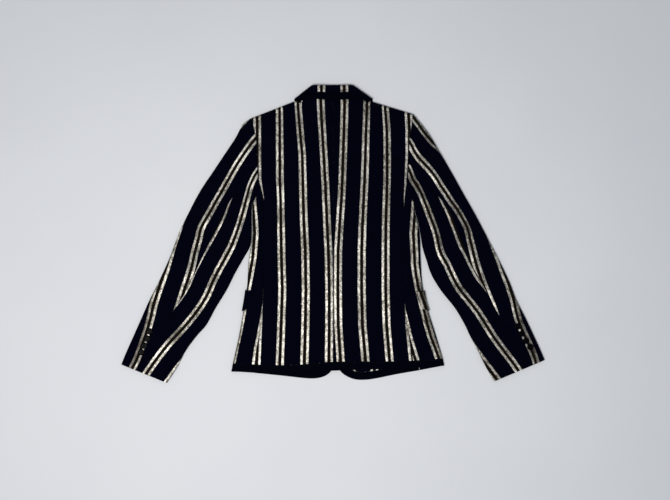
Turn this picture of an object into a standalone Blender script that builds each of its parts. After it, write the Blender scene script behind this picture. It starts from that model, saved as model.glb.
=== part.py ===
"""A slim blazer laid face down on a flat surface, its back up and its sleeves a little away from its sides.

Left and right are the wearer's. Seen from above with +Y up the picture, the wearer's left is at -X.
All tables are in millimetres, and the meshes are made in metres.
Each cut piece is a wall lofted through sections. The lower layer lies flat at z = 0 and the upper one lies on it.
"""

import math

import bmesh
import bpy
from mathutils import Vector

MM = 0.001

# Driving sizes
WALL = 2.4
GAP = 0.3
LAYER = WALL + GAP
STACK = 8.2
BORDER = 17.0
SHOULDER_SEAM = 10.0
FOREARM_SEAM = 0.7
ROLL_LEG = 6.0
ZONE_MARGIN = 14.0
ZONE_RAMP = 36.0
BUTTON_RADIUS = 7.0
BUTTON_THICK = 3.0
FRONT_BUTTON_RADIUS = 10.0
FRONT_BUTTON_THICK = 2.4

# How finely the walls are cut
SLEEVE_ROWS = 18
BACK_ROWS = 20
SIDE_ROWS = 17
FRONT_ARMHOLE_ROWS = 8
FRONT_COLUMNS = 12
BORDER_ROWS = 40
TURN_STEPS = 4
BUTTON_STEPS = 14

# Where along the back's side edge the armhole gives way to the princess seam
BACK_JOIN = 0.2
FRONT_JOIN = 0.25
FRONT_EDGE_JOIN = 0.55

# Armhole seams, from the shoulder point to the underarm: x, y
ARMHOLE = {
    "left": (
        (-179.3, 254.1),
        (-170.5, 220.0),
        (-167.2, 184.8),
        (-166.1, 151.8),
        (-165.0, 118.8),
        (-168.0, 85.8),
        (-178.2, 63.8),
    ),
    "right": (
        (176.0, 262.9),
        (171.6, 233.2),
        (167.9, 206.8),
        (165.7, 151.8),
        (165.0, 118.8),
        (169.4, 85.8),
        (177.1, 68.2),
    ),
}
# Share of the armhole at which the princess seam and the front seam leave it
ARMHOLE_TO_PRINCESS = 0.5
ARMHOLE_TO_FRONT_SEAM = 0.7

# Sleeves, from armhole to cuff: outer x, outer y, inner x, inner y, share across at which the elbow seam runs
SLEEVE = {
    "left": (
        (-179.3, 254.1, -178.2, 63.8, 0.50),
        (-198.0, 239.8, -178.2, 56.1, 0.50),
        (-213.4, 211.2, -178.2, 48.4, 0.50),
        (-235.4, 178.2, -178.2, 26.4, 0.50),
        (-266.2, 132.0, -178.2, 2.2, 0.46),
        (-292.6, 92.4, -181.5, -26.4, 0.455),
        (-320.0, 39.6, -196.9, -55.0, 0.46),
        (-338.8, 0.0, -215.6, -88.0, 0.47),
        (-358.6, -52.8, -233.2, -123.2, 0.455),
        (-382.8, -105.6, -257.4, -162.8, 0.46),
        (-402.6, -145.2, -277.6, -199.5, 0.42),
        (-420.2, -184.8, -299.2, -224.4, 0.41),
        (-437.8, -224.4, -323.4, -257.4, 0.385),
        (-455.4, -264.0, -340.0, -290.4, 0.36),
        (-464.2, -286.0, -364.1, -326.7, 0.35),
    ),
    "right": (
        (176.0, 262.9, 177.1, 68.2, 0.50),
        (195.8, 238.7, 178.2, 58.3, 0.50),
        (211.2, 217.8, 180.4, 48.4, 0.50),
        (231.0, 184.8, 185.9, 26.4, 0.49),
        (261.8, 132.0, 191.4, 0.0, 0.40),
        (283.8, 92.4, 195.8, -28.6, 0.34),
        (313.5, 39.6, 204.6, -57.2, 0.365),
        (334.4, 0.0, 216.0, -90.2, 0.38),
        (361.9, -52.8, 237.6, -125.4, 0.405),
        (387.2, -105.6, 267.3, -162.8, 0.415),
        (402.6, -145.2, 288.2, -198.0, 0.40),
        (422.4, -184.8, 300.6, -224.4, 0.37),
        (441.1, -224.4, 318.0, -257.4, 0.345),
        (453.2, -250.8, 335.5, -292.6, 0.30),
        (464.2, -276.3, 353.1, -323.4, 0.26),
    ),
}

# Princess seams between back and side panel, from the armhole to the hem border: x, y
PRINCESS = {
    "left": (
        (-165.7, 151.8),
        (-160.6, 112.2),
        (-150.7, 68.2),
        (-150.7, 8.8),
        (-151.8, -57.2),
        (-152.9, -114.4),
        (-155.1, -167.2),
        (-160.6, -222.2),
        (-167.2, -286.2),
    ),
    "right": (
        (165.4, 151.8),
        (160.2, 105.6),
        (156.2, 68.2),
        (155.8, 8.8),
        (155.3, -57.2),
        (155.1, -118.8),
        (159.1, -165.0),
        (167.2, -222.2),
        (176.0, -277.6),
    ),
}

# Folds at the body's sides, from the underarm to the hem border: x, y
SIDE_FOLD = {
    "left": (
        (-177.2, 62.6),
        (-177.2, 48.0),
        (-177.2, 24.0),
        (-177.8, -8.0),
        (-185.6, -60.0),
        (-188.5, -114.0),
        (-196.6, -168.0),
        (-206.8, -224.0),
        (-220.0, -283.8),
    ),
    "right": (
        (176.8, 68.2),
        (179.4, 48.4),
        (184.8, 26.4),
        (190.4, -3.0),
        (192.6, -60.0),
        (196.6, -114.0),
        (208.6, -168.0),
        (226.4, -224.0),
        (240.9, -272.8),
    ),
}

# Front and side panel seams on the lower layer: x, y
FRONT_SEAM = {
    "left": (
        (-164.9, 112.0),
        (-158.0, 78.0),
        (-150.0, 40.0),
        (-144.0, -4.0),
        (-142.0, -60.0),
        (-146.0, -114.0),
        (-152.0, -168.0),
        (-160.0, -226.0),
        (-173.2, -288.1),
    ),
    "right": (
        (165.2, 112.0),
        (158.0, 78.0),
        (150.0, 40.0),
        (146.0, -4.0),
        (146.0, -60.0),
        (150.0, -114.0),
        (157.0, -168.0),
        (168.0, -224.0),
        (187.0, -282.6),
    ),
}

# Centre back seam, from the neck to the hem border: x, y
CENTRE_SEAM = (
    (-1.1, 304.3),
    (0.0, 250.0),
    (0.0, 200.0),
    (0.0, 150.0),
    (0.0, 97.0),
    (0.4, 30.0),
    (0.8, -30.0),
    (1.2, -90.0),
    (1.8, -150.0),
    (3.0, -215.0),
    (4.4, -279.9),
)

# Back neck seam between the end of the shoulder seam and the centre: x, y
NECK_SEAM = {
    "left": ((-62.0, 296.5), (-30.0, 303.6), (-1.1, 304.3)),
    "right": ((64.0, 295.5), (30.0, 303.6), (-1.1, 304.3)),
}
# Side neck points, where the shoulders fold under the collar: x, y
SIDE_NECK = {"left": (-77.4, 293.4), "right": (80.5, 291.6)}

# Hem border of back and sides, from the left fold to the right one: x, upper y, lower y
HEM = (
    (-220.0, -283.8, -301.8),
    (-173.8, -286.2, -303.0),
    (-116.6, -288.0, -303.0),
    (-66.0, -286.0, -301.6),
    (-15.4, -281.0, -300.2),
    (40.0, -279.4, -298.4),
    (90.0, -279.4, -296.6),
    (140.0, -278.8, -295.2),
    (190.0, -276.6, -293.2),
    (240.9, -272.8, -289.1),
)
# How far the folds of the hem border reach out, and its ends on the lower layer: x, upper y, lower y
HEM_REACH = 3.3
HEM_UNDER = {"left": (-175.4, -288.1, -305.0), "right": (190.4, -282.5, -299.4)}

# Outer edges of the fronts, from the side seam along the hem, round the corner and up to the break: x, y
FRONT_EDGE = {
    "left": (
        (-174.8, -305.2),
        (-111.3, -311.5),
        (-60.9, -317.0),
        (-35.6, -317.0),
        (-16.0, -311.0),
        (-2.2, -298.0),
        (7.6, -276.0),
        (15.4, -233.2),
        (17.6, -145.2),
        (17.6, -61.6),
    ),
    "right": (
        (189.8, -299.6),
        (136.4, -308.9),
        (94.4, -317.5),
        (69.1, -320.6),
        (46.0, -319.0),
        (25.0, -309.5),
        (13.2, -297.0),
        (3.4, -276.0),
        (-3.3, -233.2),
        (-6.6, -145.2),
        (-6.6, -61.6),
    ),
}
# Share of that edge at which its corner lies
FRONT_CORNER = {"left": 0.5, "right": 0.5}

# Roll edge of the fronts, from the side neck to the break: x, y
FRONT_ROLL = {
    "left": (
        (-77.4, 293.4),
        (-39.4, 228.0),
        (-29.4, 172.0),
        (-20.6, 120.0),
        (-11.2, 70.0),
        (-3.4, 20.0),
        (-0.4, -20.0),
        (0.3, -61.6),
    ),
    "right": (
        (80.5, 291.6),
        (41.0, 228.0),
        (32.3, 172.0),
        (25.3, 120.0),
        (17.4, 70.0),
        (11.6, 20.0),
        (10.8, -20.0),
        (10.7, -61.6),
    ),
}

# Lapels, turned out on the fronts, from the gorge to the lower tip: roll x, roll y, outer x, outer y
LAPEL = {
    "left": (
        (-29.7, 226.6, -98.0, 206.0),
        (-21.2, 172.0, -82.0, 152.0),
        (-12.6, 120.0, -58.0, 98.0),
        (-4.2, 70.0, -32.0, 52.0),
        (3.4, 22.0, -9.0, 14.0),
    ),
    "right": (
        (31.0, 226.6, 99.0, 206.0),
        (24.0, 172.0, 83.0, 152.0),
        (17.4, 120.0, 62.0, 98.0),
        (11.0, 70.0, 38.0, 52.0),
        (5.0, 22.0, 18.0, 14.0),
    ),
}

# Collar fall, from the roll to the outer edge: share, left fold x, left fold y, right fold x, right fold y
COLLAR = (
    (0.0, -46.2, 326.7, 44.0, 326.7),
    (1.0, -85.0, 296.2, 87.5, 296.0),
)
# Outer edge of the fall on the back: x, y
COLLAR_EDGE = ((-85.0, 296.2), (-61.6, 295.6), (0.0, 293.6), (63.8, 295.2), (87.5, 296.0))
# Ends of the fall on the fronts: x, y at the roll, x, y at the outer edge
COLLAR_END = {"left": (-30.1, 231.0, -93.0, 213.0), "right": (31.4, 231.0, 94.0, 213.0)}
COLLAR_BORDER_START = 0.5
COLLAR_ROLL_DROP = 1.0
# Ends of the collar stand's edge at the roll: x, y
STAND_ROLL = ((-40.0, 322.5), (38.0, 322.5))

# Pocket flaps, top to bottom: upper end x, y, fold x, y, far end under the front x, y
FLAP = {
    "left": (
        (-180.4, -123.2, -192.9, -123.2, -76.0, -116.0),
        (-183.0, -145.2, -196.1, -145.2, -77.0, -139.0),
        (-188.6, -165.0, -200.4, -169.4, -82.0, -162.0),
    ),
    "right": (
        (182.6, -125.4, 201.8, -125.4, 80.0, -116.0),
        (187.6, -145.2, 205.6, -145.2, 81.0, -139.0),
        (196.0, -164.0, 212.2, -168.5, 86.0, -162.0),
    ),
}

# Cuff buttons: x, y
CUFF_BUTTONS = {
    "left": ((-401.5, -213.4), (-406.5, -229.5), (-412.8, -244.6), (-420.0, -259.0)),
    "right": ((405.2, -202.2), (413.6, -218.2), (422.8, -234.1), (432.3, -247.7)),
}
FRONT_BUTTON = (5.5, -92.0)
FRONT_BUTTON_ZONE = 22.0
FRONT_BUTTON_RAMP = 80.0

# Where the right front lies under the left one: x, y
OVERLAP = (
    (-10.0, -44.0),
    (-10.0, -145.0),
    (-7.0, -233.0),
    (0.0, -278.0),
    (12.0, -302.0),
    (40.0, -324.0),
    (60.0, -324.0),
    (60.0, -44.0),
)

# Largest folds of the upper layer: start x, y, end x, y, half width, height
FOLDS = (
    (0.0, 322.0, 2.0, 236.0, 30.0, -2.4),
    (-150.0, 60.0, -152.0, -150.0, 20.0, 1.2),
    (155.0, 60.0, 155.0, -150.0, 20.0, 1.2),
    (-178.0, 78.0, -120.0, 20.0, 22.0, 1.4),
    (178.0, 82.0, 124.0, 24.0, 22.0, 1.4),
    (-60.0, -20.0, -110.0, -70.0, 26.0, 1.2),
    (62.0, -16.0, 110.0, -66.0, 26.0, 1.0),
    (-208.0, -228.0, -198.0, -275.0, 18.0, -1.0),
    (228.0, -226.0, 216.0, -268.0, 18.0, -1.0),
    (-186.0, 70.0, -250.0, 28.0, 24.0, 2.6),
    (-196.0, 30.0, -282.0, 60.0, 20.0, -1.8),
    (-236.0, 20.0, -330.0, -120.0, 24.0, 2.2),
    (-330.0, -30.0, -300.0, -130.0, 20.0, -1.6),
    (-360.0, -150.0, -330.0, -250.0, 22.0, 1.8),
    (-200.0, 190.0, -214.0, 120.0, 28.0, 2.2),
    (190.0, 78.0, 262.0, 40.0, 24.0, 2.6),
    (206.0, 120.0, 268.0, 70.0, 18.0, -1.8),
    (246.0, 50.0, 322.0, -100.0, 24.0, 2.2),
    (330.0, -40.0, 308.0, -130.0, 20.0, -1.6),
    (372.0, -150.0, 330.0, -250.0, 22.0, 1.8),
    (200.0, 196.0, 216.0, 126.0, 28.0, 2.2),
)

# Colours, roughness and metallic value
CLOTH_COLOUR = (0.0028, 0.0030, 0.0065, 1.0)
BORDER_COLOUR = (0.0022, 0.0022, 0.0036, 1.0)
BUTTON_COLOUR = (0.004, 0.004, 0.005, 1.0)
CLOTH_ROUGHNESS = 0.75
BORDER_ROUGHNESS = 0.6
BUTTON_ROUGHNESS = 0.3


def spline(table, share):
    """The point at a share of the way along a smooth curve through a table's rows."""
    last = len(table) - 1
    place = min(max(share, 0.0), 1.0) * last
    row = min(int(place), last - 1)
    f = place - row
    before, here, after, beyond = (table[min(max(row + k, 0), last)] for k in (-1, 0, 1, 2))
    return tuple(
        b + 0.5 * f * (c - a + f * (2 * a - 5 * b + 4 * c - d + f * (3 * (b - c) + d - a)))
        for a, b, c, d in zip(before, here, after, beyond)
    )


def mix(a, b, share):
    return tuple(p + (q - p) * share for p, q in zip(a, b))


def spread(first, last, count):
    """Evenly spaced values, both ends included."""
    return [first + (last - first) * k / (count - 1) for k in range(count)]


def joined(first, second, share):
    """One curve made of two, the first up to the given share."""
    return lambda u: first(u / share) if u < share else second((u - share) / (1 - share))


def shifted(curve, dx, dy=0.0):
    return lambda u: (curve(u)[0] + dx, curve(u)[1] + dy)


def patch(near, far, start=None, finish=None, fade=4):
    """Plan position at (s, t): s runs from the near edge to the far one, t from start to finish."""

    def place(s, t):
        x, y = mix(near(t), far(t), s)
        for curve, weight in ((start, (1 - t) ** fade), (finish, t**fade)):
            if curve:
                cx, cy = curve(s)
                straight = mix(curve(0), curve(1), s)
                x += (cx - straight[0]) * weight
                y += (cy - straight[1]) * weight
        return x, y

    return place


def distance_to_segment(x, y, a, b):
    dx, dy = b[0] - a[0], b[1] - a[1]
    along = ((x - a[0]) * dx + (y - a[1]) * dy) / (dx * dx + dy * dy)
    along = min(max(along, 0.0), 1.0)
    return math.hypot(x - a[0] - along * dx, y - a[1] - along * dy)


def distance_outside(x, y, outline):
    """How far a point lies outside a closed outline, or 0 inside it."""
    inside = False
    nearest = math.inf
    for a, b in zip(outline, outline[1:] + outline[:1]):
        nearest = min(nearest, distance_to_segment(x, y, a, b))
        if (a[1] > y) != (b[1] > y) and x < a[0] + (y - a[1]) * (b[0] - a[0]) / (b[1] - a[1]):
            inside = not inside
    return 0.0 if inside else nearest


def soft(share):
    """A smooth step from 0 to 1."""
    share = min(max(share, 0.0), 1.0)
    return share * share * (3 - 2 * share)


def zones(side):
    """Outlines of what lies between a front and the surface: lapel, collar end and pocket flap."""
    lapel = LAPEL[side]
    collar = COLLAR_END[side]
    fold = 1 if side == "left" else 3
    flap = FLAP[side]
    return (
        tuple(row[:2] for row in lapel) + tuple(row[2:] for row in reversed(lapel)),
        (COLLAR[0][fold : fold + 2], collar[:2], collar[2:], COLLAR[1][fold : fold + 2]),
        tuple(row[2:4] for row in flap) + tuple(row[4:] for row in reversed(flap)),
    )


ZONES = {"left": zones("left") + (OVERLAP,), "right": zones("right")}


def button_rise(x, y):
    away = math.hypot(x - FRONT_BUTTON[0], y - FRONT_BUTTON[1])
    return LAYER * soft(1 - (away - FRONT_BUTTON_ZONE) / FRONT_BUTTON_RAMP)


def lift(x, y, side):
    """Height of the lower layer's underside on one side of the blazer."""
    away = min(distance_outside(x, y, outline) for outline in ZONES[side])
    return LAYER * soft(1 - (away - ZONE_MARGIN) / ZONE_RAMP) + button_rise(x, y)


def top(x, y):
    """Height of the upper layer's outer face."""
    height = STACK + button_rise(x, y)
    for x0, y0, x1, y1, half_width, rise in FOLDS:
        away = distance_to_segment(x, y, (x0, y0), (x1, y1)) / half_width
        if away < 1:
            height += rise * (1 - away * away) ** 2
    return height


def upper(points, above=0.0):
    """Outer and inner points of a wall in the upper layer."""
    return [(Vector((x, y, top(x, y) + above)), Vector((x, y, top(x, y) + above - WALL))) for x, y in points]


def lower(points, side, flat=False):
    """Outer and inner points of a wall in the lower layer."""
    heights = [0.0 if flat else lift(x, y, side) for x, y in points]
    return [(Vector((x, y, h)), Vector((x, y, h + WALL))) for (x, y), h in zip(points, heights)]


def turn(edge, over, under, high, low):
    """A fold from the upper layer to the lower one, between its two inner points in plan."""
    middle, half = (high + low) / 2, (high - low) / 2
    points = []
    for step in range(1, TURN_STEPS):
        angle = math.pi * step / TURN_STEPS
        cx, cy = mix(over, under, step / TURN_STEPS)
        ox, oy = edge[0] - cx, edge[1] - cy
        reach = max(math.hypot(ox, oy), WALL)
        inner = (reach - WALL) / reach
        out, rise = math.sin(angle), math.cos(angle)
        points.append(
            (
                Vector((cx + ox * out, cy + oy * out, middle + half * rise)),
                Vector((cx + ox * out * inner, cy + oy * out * inner, middle + (half - WALL) * rise)),
            )
        )
    return points


def length(row):
    a, b = row(0), row(1)
    return math.hypot(b[0] - a[0], b[1] - a[1])


def folded(over, over_end, under, under_end, side, counts, above=0.0, flat=False, further=()):
    """Section of a wall that runs along over, round its fold at share 0, and back along under."""
    edge = over(0)
    reach = (STACK + above) / 2
    start, finish = reach / length(over), reach / length(under)
    on_top = upper([over(s) for s in spread(over_end, start, counts[0])], above)
    shares = spread(finish, under_end, counts[1]) + list(further)
    beneath = lower([under(s) for s in shares], side, flat)
    high, low = on_top[-1][0].z, beneath[0][0].z
    return on_top + turn(edge, over(start), under(finish), high, low) + beneath


def loft(name, sections, material):
    """A closed wall through sections of outer and inner points."""
    bm = bmesh.new()
    rings = []
    for section in sections:
        loop = [outer for outer, _ in section] + [inner for _, inner in reversed(section)]
        rings.append([bm.verts.new(point * MM) for point in loop])
    count = len(rings[0])
    for ring, after in zip(rings, rings[1:]):
        for k in range(count):
            m = (k + 1) % count
            bm.faces.new((ring[k], ring[m], after[m], after[k]))
    for ring in (rings[0], rings[-1]):
        for k in range(count // 2 - 1):
            bm.faces.new((ring[k], ring[k + 1], ring[count - 2 - k], ring[count - 1 - k]))
    bmesh.ops.recalc_face_normals(bm, faces=bm.faces)
    mesh = bpy.data.meshes.new(name)
    bm.to_mesh(mesh)
    bm.free()
    mesh.shade_smooth()
    mesh.set_sharp_from_angle(angle=math.radians(50))
    return add(name, mesh, material)


def add(name, mesh, material):
    obj = bpy.data.objects.new(name, mesh)
    obj.data.materials.append(material)
    bpy.data.collections["Blazer"].objects.link(obj)
    return obj


def make_material(name, colour, roughness):
    material = bpy.data.materials.new(name)
    material.use_nodes = True
    shader = material.node_tree.nodes["Principled BSDF"]
    shader.inputs["Base Color"].default_value = colour
    shader.inputs["Roughness"].default_value = roughness
    shader.inputs["Metallic"].default_value = 0.0
    return material


def outward(side):
    return -1 if side == "left" else 1


def body_armhole(side):
    return shifted(lambda u: spline(ARMHOLE[side], u), -outward(side) * GAP)


def part_of(curve, first, last):
    return lambda u: curve(first + (last - first) * u)


def make_sleeve(side, material):
    """Topsleeve and undersleeve, split at the elbow seam above and at the forearm seam underneath."""
    table = SLEEVE[side]
    dx = outward(side) * GAP
    outer = shifted(lambda t: spline(table, t)[:2], dx)
    inner = shifted(lambda t: spline(table, t)[2:4], dx)
    start = shifted(lambda s: spline(ARMHOLE[side], s), dx)
    place = patch(outer, inner, start, fade=10)
    tops, unders = [], []
    for t in spread(0, 1, SLEEVE_ROWS):
        seam = spline(table, t)[4]
        row = lambda s, t=t: place(s, t)
        back_row = lambda s, t=t: place(1 - s, t)
        half = GAP / 2 / length(row)
        tops.append(folded(row, seam - half, row, FOREARM_SEAM - half, side, (6, 8), flat=True))
        unders.append(
            folded(back_row, 1 - seam - half, back_row, 1 - FOREARM_SEAM - half, side, (6, 5), flat=True)
        )
    loft("topsleeve_" + side, tops, material)
    loft("undersleeve_" + side, unders, material)


def front_border_edges(side):
    """Outer edge of a front's border, and its inner edge a border's width inside."""
    table = FRONT_EDGE[side]
    outer = lambda u: spline(table, u)

    def inner(u):
        step = 0.02
        a, b = outer(max(u - step, 0)), outer(min(u + step, 1))
        dx, dy = b[0] - a[0], b[1] - a[1]
        size = math.hypot(dx, dy) * -outward(side)
        x, y = outer(u)
        return x - dy / size * BORDER, y + dx / size * BORDER

    return outer, inner


def front_patch(side):
    """Plan of a front: s from the side to the centre, t from the shoulder fold to the border."""
    inward = -outward(side)
    seam = shifted(lambda u: spline(FRONT_SEAM[side], u), inward * GAP / 2)
    side_edge = joined(part_of(body_armhole(side), 0, ARMHOLE_TO_FRONT_SEAM), seam, FRONT_JOIN)
    _, border = front_border_edges(side)
    corner = FRONT_CORNER[side]
    centre_edge = joined(
        lambda u: spline(FRONT_ROLL[side], u),
        shifted(part_of(border, 1, corner), -inward * GAP, GAP),
        FRONT_EDGE_JOIN,
    )
    bottom = shifted(part_of(border, 0, corner), 0, GAP)
    shoulder = lambda s: mix(side_edge(0), SIDE_NECK[side], s)
    return patch(side_edge, centre_edge, shoulder, bottom)


def shoulder_seam(side):
    """The shoulder seam on the upper layer, straight from the armhole to the neck."""
    place = front_patch(side)
    ends = []
    for s in (0, 1):
        fold, below = place(s, 0), place(s, 0.02)
        ends.append(mix(fold, below, SHOULDER_SEAM / math.dist(fold, below)))
    return lambda s: mix(*ends, s)


def neck_seam(side):
    """The back neck seam from the end of the shoulder seam to the centre."""
    table = (shoulder_seam(side)(1),) + NECK_SEAM[side]
    return lambda u: spline(table, u)


def make_front(side, material):
    place = front_patch(side)
    seam = shoulder_seam(side)
    below_armhole = spread(FRONT_JOIN, 1.0, SIDE_ROWS)[1:]
    counts = (2, FRONT_ARMHOLE_ROWS)
    sections = []
    for s in spread(0, 1, FRONT_COLUMNS):
        column = lambda t, s=s: place(s, t)
        over = lambda v, s=s: mix(place(s, 0), seam(s), v)
        sections.append(folded(over, 1.0, column, FRONT_JOIN, side, counts, further=below_armhole))
    loft("front_" + side, sections, material)


def make_back(side, material):
    inward = -outward(side)
    armhole = body_armhole(side)
    seam_end = shoulder_seam(side)(0)[1] - GAP
    start_share = min(spread(0, 0.4, 2001), key=lambda u: abs(armhole(u)[1] - seam_end))
    princess = shifted(lambda u: spline(PRINCESS[side], u), inward * GAP / 2)
    side_edge = joined(part_of(armhole, start_share, ARMHOLE_TO_PRINCESS), princess, BACK_JOIN)
    centre = shifted(lambda u: spline(CENTRE_SEAM, u), outward(side) * GAP / 2)
    crown = shifted(joined(shoulder_seam(side), neck_seam(side), 0.5), 0, -GAP)
    hem = lambda s: spline(HEM_CURVES[side], s)[:2]
    place = patch(side_edge, centre, crown, hem, fade=3)
    sections = []
    for t in spread(0, 1, BACK_ROWS + 1):
        t = min(t, 0.9993)
        sections.append(upper([place(s, t) for s in spread(0, 1, 11)]))
    loft("back_" + side, sections, material)


def hem_curve(side):
    """The border's upper edge from the princess seam to the centre seam, as rows of x and y."""
    ends = PRINCESS[side][-1][0], CENTRE_SEAM[-1][0]
    return tuple((x, hem_height(x, 1)) for x in spread(*ends, 7))


def hem_height(x, column):
    """Height of the hem border's upper (1) or lower (2) edge at x."""
    for a, b in zip(HEM, HEM[1:]):
        if x <= b[0]:
            return a[column] + (b[column] - a[column]) * (x - a[0]) / (b[0] - a[0])
    return HEM[-1][column]


HEM_CURVES = {side: hem_curve(side) for side in ("left", "right")}


def make_side(side, material):
    """Side panel: from the princess seam over the side fold to the front seam underneath."""
    inward = -outward(side)
    fold = lambda t: spline(SIDE_FOLD[side], t)
    princess = shifted(lambda t: spline(PRINCESS[side], t), -inward * GAP / 2)
    seam = shifted(lambda t: spline(FRONT_SEAM[side], t), -inward * GAP / 2)
    armhole = body_armhole(side)
    above = patch(fold, princess, part_of(armhole, 1, ARMHOLE_TO_PRINCESS), fade=8)
    beneath = patch(fold, seam, part_of(armhole, 1, ARMHOLE_TO_FRONT_SEAM), fade=8)
    sections = []
    for t in spread(0, 0.999, SIDE_ROWS):
        over = lambda s, t=t: above(s, t)
        under = lambda s, t=t: beneath(s, t)
        sections.append(folded(over, 1.0, under, 1.0, side, (6, 5)))
    loft("side_" + side, sections, material)


def make_hem_border(material):
    """Border of back and sides, folded round both sides."""
    sections = []
    for column in (1, 2):
        shift = -GAP if column == 1 else 0.0
        curve = [(row[0], row[column] + shift) for row in HEM]
        left = (HEM[0][0] - (HEM_REACH if column == 2 else 0), curve[0][1])
        right = (HEM[-1][0] + (HEM_REACH if column == 2 else 0), curve[-1][1])
        ends = {
            side: (HEM_UNDER[side][0], HEM_UNDER[side][column] + shift) for side in ("left", "right")
        }
        reach = STACK / 2
        xs = spread(left[0] + reach, right[0] - reach, 26)
        across = upper([(x, hem_height(x, column) + shift) for x in xs])
        section = []
        for side, edge, at in (("left", left, 0), ("right", right, -1)):
            end = ends[side]
            towards = 1 if side == "left" else -1
            slope = (end[1] - edge[1]) / (end[0] - edge[0])
            under = [
                (x, edge[1] + slope * (x - edge[0])) for x in spread(edge[0] + towards * reach, end[0], 4)
            ]
            over_point = tuple(across[at][0][:2])
            leg = lower(under, side)
            bend = turn(edge, over_point, under[0], across[at][0].z, leg[0][0].z)
            part = bend + leg
            section = list(reversed(part)) + across if side == "left" else section + part
        sections.append(section)
    loft("hem_border", sections, material)


def make_front_border(side, material):
    outer, inner = front_border_edges(side)
    sections = []
    for u in spread(0, 1, BORDER_ROWS):
        points = [mix(outer(u), inner(u), share) for share in (0, 0.5, 1)]
        sections.append(lower(points, side))
    loft("front_border_" + side, sections, material)


def make_lapel(side, material):
    """Lapel: a narrow leg level with the front, the roll, and the turned part under the front."""
    sections = []
    for t in spread(0, 1, 9):
        row = spline(LAPEL[side], t)
        roll, outer = row[:2], row[2:]
        under = lambda s, roll=roll, outer=outer: mix(roll, outer, s)
        reach = (LAYER + WALL) / 2
        size = length(under)
        over_end = under(ROLL_LEG / size)
        bend_at = under(reach / size)
        leg = [(Vector((x, y, LAYER + WALL)), Vector((x, y, LAYER))) for x, y in (over_end, bend_at)]
        beneath = lower([under(s) for s in spread(reach / size, 1, 4)], side, flat=True)
        sections.append(leg + turn(roll, bend_at, bend_at, LAYER + WALL, 0.0) + beneath)
    loft("lapel_" + side, sections, material)


def make_collar(name, first, last, material):
    """A band of the collar fall, folded round both sides of the neck on to the fronts."""
    sections = []
    for t in spread(first, last, 5 if first == 0 else 3):
        folds = {
            "left": mix(COLLAR[0][1:3], COLLAR[1][1:3], t),
            "right": mix(COLLAR[0][3:5], COLLAR[1][3:5], t),
        }
        reach = (STACK + LAYER) / 2
        bow = lambda s: spline(COLLAR_EDGE, s)[1] - mix(COLLAR_EDGE[0], COLLAR_EDGE[-1], s)[1]
        across = lambda s, t=t, folds=folds, bow=bow: (
            mix(folds["left"], folds["right"], s)[0],
            mix(folds["left"], folds["right"], s)[1] + bow(s) * t,
        )
        start = reach / length(across)
        drop = COLLAR_ROLL_DROP if t == 0 else 0.0
        points = [across(s) for s in spread(start, 1 - start, 14)]
        flat = upper(points, LAYER + GAP - drop)
        section = []
        for side, at in (("left", 0), ("right", -1)):
            edge = folds[side]
            end = mix(COLLAR_END[side][:2], COLLAR_END[side][2:], t)
            under = lambda s, edge=edge, end=end: mix(edge, end, s)
            legs = [under(s) for s in spread(reach / length(under), 1, 4)]
            leg = lower(legs, side, flat=True)
            bend = turn(edge, points[at], legs[0], flat[at][0].z, 0.0)
            part = bend + leg
            section = list(reversed(part)) + flat if side == "left" else section + part
        sections.append(section)
    loft(name, sections, material)


def make_stand(material):
    """Collar stand between the back neck seam and the roll, under the fall."""
    left, right = neck_seam("left"), neck_seam("right")
    seam = shifted(joined(left, part_of(right, 1, 0), 0.5), 0, GAP)
    sections = []
    for t in spread(0, 1, 3):
        row = [mix(mix(*STAND_ROLL, s), seam(s), t) for s in spread(0.02, 0.98, 11)]
        sections.append(upper(row))
    loft("collar_stand", sections, material)


def make_flap(side, material):
    """Pocket flap: its visible end on the side panel, the fold, and its length under the front."""
    sections = []
    for t in spread(0, 1, 5):
        row = spline(FLAP[side], t)
        end, edge, far = row[:2], row[2:4], row[4:]
        over = lambda s, edge=edge, end=end: mix(edge, end, s)
        under = lambda s, edge=edge, far=far: mix(edge, far, s)
        sections.append(folded(over, 1.0, under, 1.0, side, (3, 6), above=LAYER, flat=True))
    loft("flap_" + side, sections, material)


def make_button(name, x, y, z, radius, thick, material):
    """A turned button with a raised rim."""
    rim, dish = radius * 0.72, thick * 0.78
    profile = (
        (0.0, dish),
        (rim, dish),
        (radius * 0.84, thick),
        (radius * 0.96, thick * 0.85),
        (radius, thick * 0.5),
        (radius * 0.8, 0.0),
        (0.0, 0.0),
    )
    mesh = bpy.data.meshes.new(name)
    points = [(r * MM, 0.0, h * MM) for r, h in profile]
    mesh.from_pydata(points, [(k, k + 1) for k in range(len(points) - 1)], [])
    obj = add(name, mesh, material)
    obj.location = (x * MM, y * MM, z * MM)
    screw = obj.modifiers.new("Turn", "SCREW")
    screw.steps = BUTTON_STEPS
    screw.render_steps = BUTTON_STEPS
    screw.use_merge_vertices = True
    screw.merge_threshold = 0.00001
    screw.use_smooth_shade = True
    return obj


def button_seat(x, y, radius):
    """Height just above the upper layer under a button."""
    around = [(x + radius * math.cos(a), y + radius * math.sin(a)) for a in spread(0, 2 * math.pi, 9)]
    return max(top(px, py) for px, py in around + [(x, y)]) + GAP


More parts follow.
